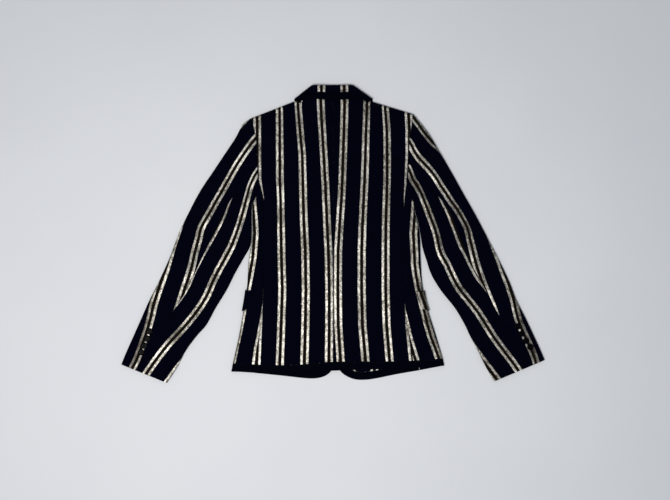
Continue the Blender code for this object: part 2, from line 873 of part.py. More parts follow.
def main():
    for obj in list(bpy.data.objects):
        bpy.data.objects.remove(obj, do_unlink=True)
    collection = bpy.data.collections.new("Blazer")
    bpy.context.scene.collection.children.link(collection)
    cloth = make_material("striped cloth", CLOTH_COLOUR, CLOTH_ROUGHNESS)
    border = make_material("black border", BORDER_COLOUR, BORDER_ROUGHNESS)
    button = make_material("black button", BUTTON_COLOUR, BUTTON_ROUGHNESS)
    for side in ("left", "right"):
        make_back(side, cloth)
        make_side(side, cloth)
        make_front(side, cloth)
        make_front_border(side, border)
        make_lapel(side, cloth)
        make_sleeve(side, cloth)
        make_flap(side, cloth)
        for number, (x, y) in enumerate(CUFF_BUTTONS[side], 1):
            seat = button_seat(x, y, BUTTON_RADIUS)
            name = f"cuff_button_{side}_{number}"
            make_button(name, x, y, seat, BUTTON_RADIUS, BUTTON_THICK, button)
    make_hem_border(border)
    make_collar("collar", 0.0, COLLAR_BORDER_START - 0.01, cloth)
    make_collar("collar_border", COLLAR_BORDER_START, 1.0, border)
    make_stand(cloth)
    make_button("front_button", *FRONT_BUTTON, 0.0, FRONT_BUTTON_RADIUS, FRONT_BUTTON_THICK, button)


main()
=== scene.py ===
"""Dresses a slim striped blazer that lies face down on a pale surface, its back up.

Left and right are the wearer's, and the wearer's left is at -X. Tables are in millimetres, meshes in metres.
Each panel is a thin shell on the form of its solid, with finer folds, and its UV map counts the stripes.
"""

import math

import bpy
import numpy as np
from bpy.props import FloatProperty, FloatVectorProperty, PointerProperty
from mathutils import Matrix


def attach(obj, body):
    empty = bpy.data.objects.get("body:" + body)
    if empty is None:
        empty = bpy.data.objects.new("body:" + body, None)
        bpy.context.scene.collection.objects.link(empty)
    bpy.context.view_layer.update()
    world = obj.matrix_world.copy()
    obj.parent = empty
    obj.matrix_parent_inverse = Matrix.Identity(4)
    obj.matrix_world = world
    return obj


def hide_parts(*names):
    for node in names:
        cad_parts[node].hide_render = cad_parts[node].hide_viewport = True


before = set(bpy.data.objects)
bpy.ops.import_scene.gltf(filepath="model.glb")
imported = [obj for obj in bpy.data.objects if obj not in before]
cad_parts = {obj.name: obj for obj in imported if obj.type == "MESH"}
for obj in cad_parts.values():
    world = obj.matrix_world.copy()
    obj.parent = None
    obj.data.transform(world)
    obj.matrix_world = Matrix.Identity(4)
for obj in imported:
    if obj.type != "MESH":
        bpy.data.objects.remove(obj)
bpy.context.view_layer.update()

bl_info = {
    "name": "Striped Blazer Laid Flat",
    "version": (1, 0, 0),
    "blender": (4, 5, 0),
    "location": "3D View > Sidebar > Blazer",
    "description": "Thin cloth shells, stripes, borders, buttons and stitches for a blazer laid face down",
    "category": "Add Mesh",
}

MM = 0.001
SIDES = ("left", "right")

# Sizes of the solids: wall, gap between pieces, one layer, the laid stack, and width of the borders
WALL = 2.4
GAP = 0.3
LAYER = WALL + GAP
STACK = 8.2
BORDER = 17
# Gap at the seams that show on the upper layer
SEAM = 0.16
# Distance of the shoulder seam from the fold, share across of the forearm seam, and width of a lapel's leg
SHOULDER_SEAM = 10
FOREARM_SEAM = 0.7
ROLL_LEG = 6
# How far around the lapels, collar ends and flaps the front is lifted: level part, then slope
ZONE_MARGIN = 14
ZONE_RAMP = 36
# Shares of a panel's edge, and of the armhole, at which one seam ends and the next begins
BACK_JOIN = 0.2
FRONT_JOIN = 0.25
FRONT_EDGE_JOIN = 0.55
ARMHOLE_TO_PRINCESS = 0.5
ARMHOLE_TO_FRONT_SEAM = 0.7
# Steps of the cloth round a fold
TURN_STEPS = 12

# Armhole seams, from the shoulder point to the underarm: x, y
ARMHOLE = {
    "left": (
        (-179.3, 254.1), (-170.5, 220), (-167.2, 184.8), (-166.1, 151.8), (-165, 118.8), (-168, 85.8),
        (-178.2, 63.8),
    ),
    "right": (
        (176, 262.9), (171.6, 233.2), (167.9, 206.8), (165.7, 151.8), (165, 118.8), (169.4, 85.8),
        (177.1, 68.2),
    ),
}

# Sleeves, from armhole to cuff: outer x, outer y, inner x, inner y, share across of the elbow seam
SLEEVE = {
    "left": (
        (-179.3, 254.1, -178.2, 63.8, 0.5), (-198, 239.8, -178.2, 56.1, 0.5),
        (-213.4, 211.2, -178.2, 48.4, 0.5), (-235.4, 178.2, -178.2, 26.4, 0.5),
        (-266.2, 132, -178.2, 2.2, 0.46), (-292.6, 92.4, -181.5, -26.4, 0.455),
        (-320, 39.6, -196.9, -55, 0.46), (-338.8, 0, -215.6, -88, 0.47),
        (-358.6, -52.8, -233.2, -123.2, 0.455), (-382.8, -105.6, -257.4, -162.8, 0.46),
        (-402.6, -145.2, -277.6, -199.5, 0.42), (-420.2, -184.8, -299.2, -224.4, 0.41),
        (-437.8, -224.4, -323.4, -257.4, 0.385), (-455.4, -264, -340, -290.4, 0.36),
        (-464.2, -286, -364.1, -326.7, 0.35),
    ),
    "right": (
        (176, 262.9, 177.1, 68.2, 0.5), (195.8, 238.7, 178.2, 58.3, 0.5), (211.2, 217.8, 180.4, 48.4, 0.5),
        (231, 184.8, 185.9, 26.4, 0.49), (261.8, 132, 191.4, 0, 0.4), (283.8, 92.4, 195.8, -28.6, 0.34),
        (313.5, 39.6, 204.6, -57.2, 0.365), (334.4, 0, 216, -90.2, 0.38),
        (361.9, -52.8, 237.6, -125.4, 0.405), (387.2, -105.6, 267.3, -162.8, 0.415),
        (402.6, -145.2, 288.2, -198, 0.4), (422.4, -184.8, 300.6, -224.4, 0.37),
        (441.1, -224.4, 318, -257.4, 0.345), (453.2, -250.8, 335.5, -292.6, 0.3),
        (464.2, -276.3, 353.1, -323.4, 0.26),
    ),
}

# Princess seams between back and side panel, from the armhole to the hem border: x, y
PRINCESS = {
    "left": (
        (-165.7, 151.8), (-160.6, 112.2), (-150.7, 68.2), (-150.7, 8.8), (-151.8, -57.2), (-152.9, -114.4),
        (-155.1, -167.2), (-160.6, -222.2), (-167.2, -286.2),
    ),
    "right": (
        (165.4, 151.8), (160.2, 105.6), (156.2, 68.2), (155.8, 8.8), (155.3, -57.2), (155.1, -118.8),
        (159.1, -165), (167.2, -222.2), (176, -277.6),
    ),
}

# Folds at the body's sides, from the underarm to the hem border: x, y
SIDE_FOLD = {
    "left": (
        (-177.2, 62.6), (-177.2, 48), (-177.2, 24), (-177.8, -8), (-185.6, -60), (-188.5, -114),
        (-196.6, -168), (-206.8, -224), (-220, -283.8),
    ),
    "right": (
        (176.8, 68.2), (179.4, 48.4), (184.8, 26.4), (190.4, -3), (192.6, -60), (196.6, -114),
        (208.6, -168), (226.4, -224), (240.9, -272.8),
    ),
}

# Front and side panel seams on the lower layer: x, y
FRONT_SEAM = {
    "left": (
        (-164.9, 112), (-158, 78), (-150, 40), (-144, -4), (-142, -60), (-146, -114), (-152, -168),
        (-160, -226), (-173.2, -288.1),
    ),
    "right": (
        (165.2, 112), (158, 78), (150, 40), (146, -4), (146, -60), (150, -114), (157, -168), (168, -224),
        (187, -282.6),
    ),
}

# Centre back seam, from the neck to the hem border: x, y
CENTRE_SEAM = (
    (-1.1, 304.3), (0, 250), (0, 200), (0, 150), (0, 97), (0.4, 30), (0.8, -30), (1.2, -90), (1.8, -150),
    (3, -215), (4.4, -279.9),
)

# Back neck seam between the end of the shoulder seam and the centre: x, y
NECK_SEAM = {
    "left": ((-62, 296.5), (-30, 303.6), (-1.1, 304.3)),
    "right": ((64, 295.5), (30, 303.6), (-1.1, 304.3)),
}
# Side neck points, where the shoulders fold under the collar: x, y
SIDE_NECK = {"left": (-77.4, 293.4), "right": (80.5, 291.6)}

# Hem border of back and sides, from the left fold to the right one: x, upper y, lower y
HEM = (
    (-220, -283.8, -301.8), (-173.8, -286.2, -303), (-116.6, -288, -303), (-66, -286, -301.6),
    (-15.4, -281, -300.2), (40, -279.4, -298.4), (90, -279.4, -296.6), (140, -278.8, -295.2),
    (190, -276.6, -293.2), (240.9, -272.8, -289.1),
)
# How far the folds of the hem border reach out, and its ends on the lower layer: x, upper y, lower y
HEM_REACH = 3.3
HEM_UNDER = {"left": (-175.4, -288.1, -305), "right": (190.4, -282.5, -299.4)}

# Outer edges of the fronts, from the side seam along the hem, round the corner and up to the break: x, y
FRONT_EDGE = {
    "left": (
        (-174.8, -305.2), (-111.3, -311.5), (-60.9, -317), (-35.6, -317), (-16, -311), (-2.2, -298),
        (7.6, -276), (15.4, -233.2), (17.6, -145.2), (17.6, -61.6),
    ),
    "right": (
        (189.8, -299.6), (136.4, -308.9), (94.4, -317.5), (69.1, -320.6), (46, -319), (25, -309.5),
        (13.2, -297), (3.4, -276), (-3.3, -233.2), (-6.6, -145.2), (-6.6, -61.6),
    ),
}
# Share of that edge at which its corner lies
FRONT_CORNER = 0.5

# Roll edge of the fronts, from the side neck to the break: x, y
FRONT_ROLL = {
    "left": (
        (-77.4, 293.4), (-39.4, 228), (-29.4, 172), (-20.6, 120), (-11.2, 70), (-3.4, 20), (-0.4, -20),
        (0.3, -61.6),
    ),
    "right": (
        (80.5, 291.6), (41, 228), (32.3, 172), (25.3, 120), (17.4, 70), (11.6, 20), (10.8, -20),
        (10.7, -61.6),
    ),
}

# Lapels, turned out on the fronts, from the gorge to the lower tip: roll x, roll y, outer x, outer y
LAPEL = {
    "left": (
        (-29.7, 226.6, -98, 206), (-21.2, 172, -82, 152), (-12.6, 120, -58, 98), (-4.2, 70, -32, 52),
        (3.4, 22, -9, 14),
    ),
    "right": (
        (31, 226.6, 99, 206), (24, 172, 83, 152), (17.4, 120, 62, 98), (11, 70, 38, 52), (5, 22, 18, 14),
    ),
}

# Collar fall, from the roll to the outer edge: share, left fold x, left fold y, right fold x, right fold y
COLLAR = ((0, -46.2, 326.7, 44, 326.7), (1, -85, 296.2, 87.5, 296))
# Outer edge of the fall on the back: x, y
COLLAR_EDGE = ((-85, 296.2), (-61.6, 295.6), (0, 293.6), (63.8, 295.2), (87.5, 296))
# Ends of the fall on the fronts: x, y at the roll, x, y at the outer edge
COLLAR_END = {"left": (-30.1, 231, -93, 213), "right": (31.4, 231, 94, 213)}
# Share of the fall at which its border starts, and how far the fall drops to its roll
COLLAR_BORDER_START = 0.5
COLLAR_ROLL_DROP = 1.0
# Ends of the collar stand's edge at the roll: x, y
STAND_ROLL = ((-40, 322.5), (38, 322.5))

# Pocket flaps, top to bottom: upper end x, y, fold x, y, far end under the front x, y
FLAP = {
    "left": (
        (-180.4, -123.2, -192.9, -123.2, -76, -116), (-183, -145.2, -196.1, -145.2, -77, -139),
        (-188.6, -165, -200.4, -169.4, -82, -162),
    ),
    "right": (
        (182.6, -125.4, 201.8, -125.4, 80, -116), (187.6, -145.2, 205.6, -145.2, 81, -139),
        (196, -164, 212.2, -168.5, 86, -162),
    ),
}

# Cuff buttons: x, y
CUFF_BUTTONS = {
    "left": ((-401.5, -213.4), (-406.5, -229.5), (-412.8, -244.6), (-420, -259)),
    "right": ((405.2, -202.2), (413.6, -218.2), (422.8, -234.1), (432.3, -247.7)),
}
# Front button, and the round place over it in which the cloth is lifted: radius, width of the slope
FRONT_BUTTON = (5.5, -92)
FRONT_BUTTON_ZONE = 22.0
FRONT_BUTTON_RAMP = 80.0

# Where the right front lies under the left one: x, y
OVERLAP = ((-10, -44), (-10, -145), (-7, -233), (0, -278), (12, -302), (40, -324), (60, -324), (60, -44))

# Largest folds of the upper layer: start x, y, end x, y, half width, height
FOLDS = (
    (0, 322, 2, 236, 30, -2.4), (-150, 60, -152, -150, 20, 1.2), (155, 60, 155, -150, 20, 1.2),
    (-178, 78, -120, 20, 22, 1.4), (178, 82, 124, 24, 22, 1.4), (-60, -20, -110, -70, 26, 1.2),
    (62, -16, 110, -66, 26, 1), (-208, -228, -198, -275, 18, -1), (228, -226, 216, -268, 18, -1),
    (-186, 70, -250, 28, 24, 2.6), (-196, 30, -282, 60, 20, -1.8), (-236, 20, -330, -120, 24, 2.2),
    (-330, -30, -300, -130, 20, -1.6), (-360, -150, -330, -250, 22, 1.8), (-200, 190, -214, 120, 28, 2.2),
    (190, 78, 262, 40, 24, 2.6), (206, 120, 268, 70, 18, -1.8), (246, 50, 322, -100, 24, 2.2),
    (330, -40, 308, -130, 20, -1.6), (372, -150, 330, -250, 22, 1.8), (200, 196, 216, 126, 28, 2.2),
)

# Middles of the stripe pairs on the back's halves: y, then x of each pair from left to right
BACK_STRIPES = {
    "left": (
        (325.6, -166.1, -116.6, -78.1, -27.5), (277.2, -166.1, -116.6, -77, -26.4),
        (228.8, -166.1, -116.6, -72.6, -23.8), (173.8, -166.1, -116.6, -67.3, -20.5),
        (118.8, -165.4, -116.6, -66, -17.2), (79.2, -158.4, -115.1, -65.3, -15.4),
        (26.4, -159.5, -114.4, -63.8, -13.2), (-39.6, -162.8, -113.3, -60.5, -9.9),
        (-123.2, -161.5, -111.1, -59.4, -8.1), (-200.2, -163.9, -113.7, -60.5, -8.1),
        (-279.4, -167.2, -116.6, -62.7, -8.8),
    ),
    "right": (
        (325.6, 25.3, 75.7, 112.2, 162.8), (277.2, 25.3, 74.8, 113.7, 165),
        (228.8, 24.2, 72.6, 117.9, 167.2), (173.8, 22.4, 71.1, 118.8, 167.2),
        (118.8, 20.5, 69.3, 118.8, 164.6), (79.2, 18.7, 67.3, 117.7, 162.8), (26.4, 15, 64.9, 115.9, 165),
        (-39.6, 11, 62.7, 115.5, 165), (-123.2, 10.6, 62.7, 115.5, 165), (-200.2, 11.4, 64.5, 117.7, 167.2),
        (-279.4, 16.5, 71.5, 124.3, 175.6),
    ),
}
# Middles of the stripe pairs on each side panel: y, then x of each pair from left to right
SIDE_STRIPES = {
    "left": (
        (74.8, -177.3, -125), (26.4, -172.9, -122), (0, -171.6, -121), (-26.4, -173.8, -123),
        (-52.8, -176, -126), (-79.2, -180.4, -130.5), (-118.8, -188, -139), (-145.2, -194.2, -145),
        (-184.8, -201.2, -151.5), (-224.4, -209.4, -158.8), (-250.8, -215.6, -164.4),
        (-283.8, -222.8, -168.3),
    ),
    "right": (
        (85.8, 132.2, 182.2), (26.4, 127.8, 177.8), (0, 126, 176), (-39.6, 128.2, 178.2),
        (-66, 129.9, 178.9), (-92.4, 133.4, 182.4), (-118.8, 139, 187.5), (-145.2, 146, 194),
        (-171.6, 152.8, 200.2), (-198, 159.4, 206.6), (-224.4, 165.4, 214.2), (-250.8, 173, 224.4),
        (-283.8, 183, 236),
    ),
}
# Middle of the stripe pair on each pocket flap: y, x
FLAP_STRIPES = {"left": ((-116, -165.5), (-170, -165.5)), "right": ((-125, 191), (-167, 204.7))}
# Middle of one stripe pair along each topsleeve, from the sleeve head to past the cuff: x, y
TOP_STRIPE = {
    "left": (
        (-146, 234), (-158, 222), (-172, 207), (-191.4, 181), (-212.5, 148.5), (-231, 116), (-246, 90),
        (-259.9, 66), (-274.5, 39.6), (-289, 13.2), (-295.2, -13.2), (-302.5, -39.6), (-308, -66),
        (-315.2, -92.4), (-324, -118.8), (-332.2, -145.2), (-341, -171.6), (-351, -202.4), (-366, -240),
        (-386, -287), (-405, -330),
    ),
    "right": (
        (124, 232), (142, 221), (157, 211.5), (168.5, 202), (175, 187.9), (184.1, 172.3), (192.6, 161.9),
        (202.4, 151), (214, 138.5), (226.6, 121.9), (237, 105), (247.3, 90.4), (258.9, 72.5), (272.1, 54.3),
        (286, 30.8), (295.8, 10.3), (300.8, -12), (307.1, -39.6), (313.2, -64), (320.6, -88), (330.8, -116),
        (342, -142), (353, -168), (363.5, -200.2), (381, -240), (402, -285), (424, -330),
    ),
}
# Middle of the next pair outside it, which shows at the sleeve head and near the cuff: x, y
OUTER_STRIPE = {
    "left": (
        (-176, 268), (-190, 254.2), (-202.5, 241.7), (-215.3, 225.8), (-224.5, 208.7), (-233, 195),
        (-249, 173), (-276, 131), (-302, 89), (-327, 44), (-336.3, 18), (-347.3, -11.7), (-356.5, -41),
        (-363.8, -66.7), (-374.8, -99.7), (-384, -125.4), (-393.1, -154.7), (-399.7, -184), (-407.5, -212),
        (-428.3, -271.7), (-440, -295.5), (-456, -334),
    ),
    "right": (
        (168, 266), (179.7, 250.8), (189.9, 236.7), (197.8, 224.2), (207, 213.2), (214.5, 204.3),
        (224, 196), (238.5, 184), (268, 136.5), (292, 96), (320, 45), (339, 6), (346.5, -11),
        (354.2, -29.5), (365.2, -55), (374.3, -81), (385.3, -110), (394.5, -139.5), (401.8, -172.5),
        (410, -200), (438.5, -264), (446, -290), (460, -334),
    ),
}
# Middle of one stripe pair along each undersleeve: x, y
UNDER_STRIPE = {
    "left": (
        (-150, 160), (-167, 136), (-176.8, 118.8), (-184.6, 99), (-189.4, 79.2), (-196.4, 52.8),
        (-204, 26.4), (-212.6, 0), (-222.6, -26.4), (-236.1, -52.8), (-250.8, -79.2), (-264, -105.6),
        (-275, -132), (-290.4, -158.4), (-310.2, -184.8), (-332.6, -211.2), (-357.5, -237.6),
        (-378.8, -264), (-398.2, -290.4), (-415.8, -316.8), (-433.4, -343.2),
    ),
    "right": (
        (151.8, 167.2), (165, 145.2), (176, 118.8), (184.8, 105.6), (194.7, 85.8), (207.9, 52.8),
        (217.8, 26.4), (226.6, 0), (235.4, -39.6), (249.7, -66), (261.8, -92.4), (276.1, -118.8),
        (297, -145.2), (317.5, -171.6), (334.4, -198), (350.9, -224.4), (370.3, -250.8), (390.5, -277.2),
        (409.2, -303.6), (426.8, -330),
    ),
}
# Middle of the next pair outside it on each undersleeve, which shows beside the seam at the elbow: x, y
ELBOW_STRIPE = {
    "left": (
        (-168, 189), (-190, 163), (-205, 140), (-213, 115), (-220.2, 97), (-227, 80), (-236.2, 55),
        (-246, 30.1), (-261.8, 2), (-278.4, -26), (-294.2, -55), (-309.3, -84.8), (-319.7, -109.6),
        (-332, -130.7), (-349.3, -153.6), (-369.8, -177.8), (-395.1, -204.7), (-418.4, -233.5),
        (-439.1, -261.7), (-475, -315.5),
    ),
    "right": (
        (184, 192.9), (199, 167.6), (210, 141.2), (221.8, 120), (231, 98), (243, 70.1), (257, 40.7),
        (269.8, 7.7), (283, -24), (295, -47), (306.5, -70), (317.7, -91.1), (336.3, -114.3),
        (358.3, -142.7), (376.7, -171.3), (392.2, -196.3), (410.3, -220.8), (430.8, -247.5),
        (450.4, -275.3), (468.4, -302.3),
    ),
}
# Where a stripe pair's middle lies on each front and on the collar: x
FRONT_STRIPE = {"left": -36, "right": 41}
COLLAR_STRIPE = -25.3
# Stretch below the shoulder in which a front's stripes swing over to the back's, and the lapels' first count
SHOULDER_SWING = 150
LAPEL_STRIPE = 0.62

# Soft creases of the upper layer beyond its largest folds: start x, y, end x, y, half width, height
CREASES = (
    (-182, 226, -232, 150, 15, 1.4), (-214, 196, -262, 118, 12, -0.9), (-250, 96, -288, 44, 20, -2.2),
    (-196, 96, -226, 30, 11, 1.1), (-186, 60, -218, -16, 9, -1.2), (-224, 30, -258, -24, 13, -1.6),
    (-262, 30, -296, -58, 10, 1.2), (-236, -30, -276, -84, 12, 1.3), (-270, -20, -318, -40, 14, -1),
    (-250, -92, -300, -118, 11, -1.3), (-292, -96, -350, -84, 14, 1), (-330, -120, -384, -196, 12, 1),
    (-366, -176, -352, -222, 18, -2), (-306, -176, -344, -214, 10, -1.1), (-330, -212, -392, -262, 12, 0.8),
    (-402, -228, -432, -296, 14, 0.8), (-352, -262, -384, -312, 13, -0.9), (186, 232, 236, 160, 15, 1),
    (212, 168, 254, 112, 12, -0.9), (196, 118, 226, 70, 11, 1.2), (238, 60, 248, 18, 17, -2.2),
    (184, 66, 210, -4, 9, -1.2), (216, 20, 244, -66, 12, 1.3), (278, 0, 300, -66, 15, -1.9),
    (290, 60, 330, -10, 12, 1), (252, -86, 292, -120, 12, -1.3), (268, -60, 316, -96, 13, 1.1),
    (318, -120, 356, -196, 12, 1.2), (352, -176, 396, -214, 19, -2), (392, -204, 428, -268, 13, 0.9),
    (300, -190, 344, -268, 12, -1.1), (352, -228, 388, -290, 13, 0.9), (-160, 120, -96, 96, 18, 0.8),
    (-150, 200, -116, 130, 26, -1), (158, 126, 98, 100, 18, 0.8), (150, 206, 118, 136, 26, -1),
    (-44, 214, -50, 60, 26, 0.7), (46, 210, 52, 64, 24, 0.7), (-10, 60, -12, -110, 11, 0.7),
    (12, 66, 13, -104, 11, 0.8), (-92, -20, -96, -180, 20, -0.9), (94, -16, 98, -176, 20, -0.9),
    (-130, -140, -136, -270, 18, 0.9), (-50, -130, -46, -272, 20, 0.8), (40, -140, 44, -268, 20, 0.8),
    (132, -140, 140, -262, 18, 0.9), (-148, 30, -110, 6, 9, -0.8), (150, 30, 112, 8, 9, -0.8),
    (-176, -70, -158, -96, 10, 0.7), (184, -60, 164, -92, 10, 0.7), (200, -190, 214, -262, 9, 0.7),
    (-186, -196, -198, -268, 9, 0.6),
)
# Painted shade where the upper side's metallic stripes turn from the light, darkening their colour: start x,
# y, end x, y, half width, how much darker
PAINTED_SHADE_ZONES = (
    (-292.6, 31, -306, -40, 13, 0.5), (-257.4, 13, -268, -14, 9, 0.45), (-262, -92, -271, -119, 15, 0.6),
    (-228, -24, -236, -44, 12, 0.4), (-334, -209, -352, -226, 14, 0.5), (-402, -140, -410, -190, 9, 0.7),
    (-411, -194, -424, -244, 9, 0.75), (-425, -248, -448, -300, 13, 0.65), (-204, -205, -220, -290, 9, 0.5),
    (174, 262, 232, 178, 15, 0.45), (244, 110, 290, 26, 13, 0.45), (292, 24, 306, -42, 10, 0.5),
    (172, 122, 198, 86, 15, 0.65), (206, 84, 236, -22, 10, 0.45), (192, 60, 197, -128, 8, 0.75),
    (197, -128, 240, -276, 17, 0.6), (400, -138, 414, -190, 8, 0.65), (416, -194, 438, -254, 9, 0.7),
    (440, -258, 458, -300, 15, 0.55), (252, 50, 263, 12, 9, 0.55), (310, -70, 330, -110, 9, 0.35),
    (-150, 296, -166, 226, 11, 0.4), (-77, 176, -77, 96, 10, 0.4), (-80, 292, -78, 250, 13, 0.25),
    (22, 164, 18, 96, 13, 0.35), (26, 300, 25, 262, 14, 0.25), (77, 298, 75, 256, 14, 0.35),
    (120, 284, 123, 238, 13, 0.35), (70, 168, 66, 116, 12, 0.3), (-110, 36, -114, -30, 11, 0.3),
    (-9, 60, -8, 0, 8, 0.3), (62, 30, 63, -60, 9, 0.3), (115, -70, 117, -130, 10, 0.25),
    (-168, -216, -170, -262, 9, 0.35), (16, 338, 24, 308, 12, 0.25),
)
# Soft creases of the lower layer, which lift it off the surface: the same columns as the upper ones
UNDER_CREASES = (
    (-300, 20, -250, -60, 16, 1), (-352, -60, -304, -128, 13, 0.8), (-400, -170, -352, -230, 14, 1),
    (-236, 120, -206, 60, 14, 0.9), (296, 40, 244, -50, 16, 1), (350, -70, 300, -120, 13, 0.8),
    (398, -160, 350, -236, 14, 1), (236, 126, 208, 66, 14, 0.9), (-140, 210, -112, 60, 20, 1),
    (138, 208, 112, 64, 20, 1), (-100, 20, -104, -96, 18, 0.9), (100, 24, 104, -92, 18, 0.9),
    (-62, -190, -70, -282, 16, 0.8), (84, -190, 92, -280, 16, 0.8),
)

# How wide the cloth rolls into a seam, how far off that still counts, and the gap over the hem border
SEAM_ROLL = 2.4
SEAM_REACH = 12
HEM_GAP = 0.1
HEM_X = [row[0] for row in HEM]
HEM_TOP = [row[1] for row in HEM]

# Points of the meshes: rows along a piece, and columns across it over and under its fold
SLEEVE_ROWS = 110
TOPSLEEVE_COLUMNS = (30, 34)
UNDERSLEEVE_COLUMNS = (36, 22)
FRONT_ROWS = 70
FRONT_COLUMNS = (4, 30)
FRONT_COLUMNS_BELOW = 90
BACK_POINTS = (61, 150)
SIDE_ROWS = 110
SIDE_COLUMNS = (22, 16)
LAPEL_ROWS = 60
LAPEL_COLUMNS = (4, 34)
COLLAR_ROWS = 34
COLLAR_BORDER_ROWS = 22
COLLAR_COLUMNS = (80, 30)
ROLL_STEPS = 10
STAND_POINTS = (60, 16)
FLAP_ROWS = 40
FLAP_COLUMNS = (14, 40)
HEM_ROWS = 14
HEM_COLUMNS = (170, 16)
FRONT_BORDER_POINTS = (150, 10)
# Points of the lines from which stripes and seams are measured
LINE_POINTS = 90
SEAM_LINE_POINTS = 50

# How quickly the shape of a panel's ends fades inside it
SLEEVE_FADE = 10
BACK_FADE = 3
SIDE_FADE = 8
# Share of the collar left open between the fall and its border, and the stand's ends as shares of its width
COLLAR_BORDER_GAP = 0.01
STAND_ENDS = (0.02, 0.98)
# Shares of the armhole among which the start of a back half is looked for: first, last, how many
BACK_STARTS = (0, 0.4, 2001)
# Share of a front's edge over which its direction is taken, there and at the shoulder
EDGE_STEP = 0.02
# Distance that a row of the collar fall keeps from the roll along its edge
ROLL_CLEARANCE = 0.5
# Share of a side panel at which it stops before the hem border
SIDE_END = 0.999
# Width of cloth that one count of a border's ribs takes
RIB_REPEAT = 50
# Most that the painted shade takes from the stripes' colour
MOST_PAINTED_SHADE = 0.85
# Angles up to which faces look smooth, on cloth and on buttons, in degrees
CLOTH_SMOOTH = 60
BUTTON_SMOOTH = 45

# Cuff and front buttons: radius, thickness
CUFF_BUTTON_SIZE = (7, 3)
FRONT_BUTTON_SIZE = (10, 2.4)
# Rings of a button: share of the radius at which the dish ends, points up to it, and the same for the rim
BUTTON_RINGS = (0.7, 22, 0.74, 9)
BUTTON_CORNERS = 48
# Its profile as shares of its radius and thickness
BUTTON_DISH = 0.78
RIM_PLACE = 0.86
RIM_WIDTH = 0.09
BUTTON_EDGE = 0.93
BUTTON_SIDE = (0.45, 0.5)
HOLE_FLOOR = 0.3
BUTTON_FOOT = 0.9
# Its threads: height over its seat, rise in the middle, then stitch spacing and length in metres
BUTTON_THREAD = (2.3, 0.5, 0.0007, 0.0012)

# Stitches: ends and points of the hem's row, its distance under the border's edge, and how high it lies
HEM_STITCHES = (-214, 236, 160)
HEM_STITCH_INSET = 2.2
STITCH_RISE = 0.15
STITCH_DIP = 0.9
# The fronts' rows: points, share of the border's width, and the least height over the surface
FRONT_STITCHES = 200
FRONT_STITCH_SHARE = 0.9
LOWEST_STITCH = 0.35

# How far a stitch turns aside at random, as shares of its direction
STITCH_JITTER = (0.08, 0.08, 0.02)

# Stripes: how ragged and how blurred their edges are, in millimetres
STRIPE_RAGGED = 0.9
STRIPE_BLUR = 0.35
# Cells of the metallic threads, of their mottling and of the twill, in millimetres across and along
THREAD = (0.55, 3.2)
MOTTLE = (4.0, 9.0)
TWILL = 0.9
# Shares of threads, specks, mottling and clouds in the stripes' glitter
GLITTER_WEIGHTS = (0.3, 0.2, 0.32, 0.18)
# Distance between a border's ribs in millimetres, and the wave scale that gives one rib a cell
BORDER_RIB = 1.1
RIB_SCALE = 0.31
# Glitter from which the threads stop being dull and are bright, and how the specks lighten the ground
DULL_GLITTER = (0.43, 0.51)
BRIGHT_GLITTER = (0.51, 0.59)
GROUND_SPECKS = (0.4, 0.62)
CLOTH_SPECULAR = 0.006
BUTTON_SPECULAR = 0.02
THREAD_SPECULAR = 0.2
THREAD_ROUGHNESS = 0.6
SURFACE_SPECULAR = 0.1
SURFACE_ROUGHNESS = 0.9

# Lamps: name, property of its power, place, size, colour
LAMPS = (
    ("Key", "key_power", (-0.4, -0.45, 1.9), 0.8, (1.0, 0.97, 0.93)),
    ("Fill", "fill_power", (0.9, 0.5, 2.0), 1.4, (0.85, 0.92, 1.0)),
)
SKY_COLOUR = (0.84, 0.91, 1.0, 1.0)
SURFACE_LEVEL = -0.0001


def size_of(name):
    """A length from the look's properties, in millimetres."""
    return getattr(bpy.context.scene.blazer, name) / MM


def at(table, share):
    """Points at the given shares of the way along a smooth curve through a table's rows."""
    rows = np.array(table, float)
    last = len(rows) - 1
    place = np.clip(np.asarray(share, float), 0, 1) * last
    row = np.minimum(place.astype(int), last - 1)
    f = (place - row)[..., None]
    a, b, c, d = (rows[np.clip(row + k, 0, last)] for k in (-1, 0, 1, 2))
    return b + 0.5 * f * (c - a + f * (2 * a - 5 * b + 4 * c - d + f * (3 * (b - c) + d - a)))


def mix(a, b, share):
    """Points at a share of the way from a to b."""
    a, b = np.asarray(a, float), np.asarray(b, float)
    return a + (b - a) * np.asarray(share, float)[..., None]


def soft(share):
    """A smooth step from 0 to 1."""
    share = np.clip(share, 0, 1)
    return share * share * (3 - 2 * share)


def graded(first, last, count):
    """Values from first to last that lie closer together at both ends."""
    even = np.linspace(0, 1, count)
    evenness = 0.55
    return first + (last - first) * (evenness * even + (1 - evenness) * soft(even))


def joined(first, second, share):
    """One curve made of two, the first up to the given share."""

    def curve(u):
        u = np.asarray(u, float)
        return np.where((u < share)[..., None], first(u / share), second((u - share) / (1 - share)))

    return curve


def shifted(curve, dx, dy=0.0):
    return lambda u: curve(u) + np.array((dx, dy))


def part_of(curve, first, last):
    return lambda u: curve(first + (last - first) * np.asarray(u, float))


def patch(near, far, start=None, finish=None, fade=4):
    """Plan position at (s, t): s runs from the near edge to the far one, t from start to finish."""

    def place(s, t):
        s, t = np.broadcast_arrays(np.asarray(s, float), np.asarray(t, float))
        xy = mix(near(t), far(t), s)
        for curve, weight in ((start, (1 - t) ** fade), (finish, t**fade)):
            if curve:
                xy = xy + (curve(s) - mix(curve(0.0), curve(1.0), s)) * weight[..., None]
        return xy

    return place


def away_from(x, y, a, b):
    """Distance from points to the segment from a to b."""
    dx, dy = b[0] - a[0], b[1] - a[1]
    along = np.clip(((x - a[0]) * dx + (y - a[1]) * dy) / (dx * dx + dy * dy), 0, 1)
    return np.hypot(x - a[0] - along * dx, y - a[1] - along * dy)


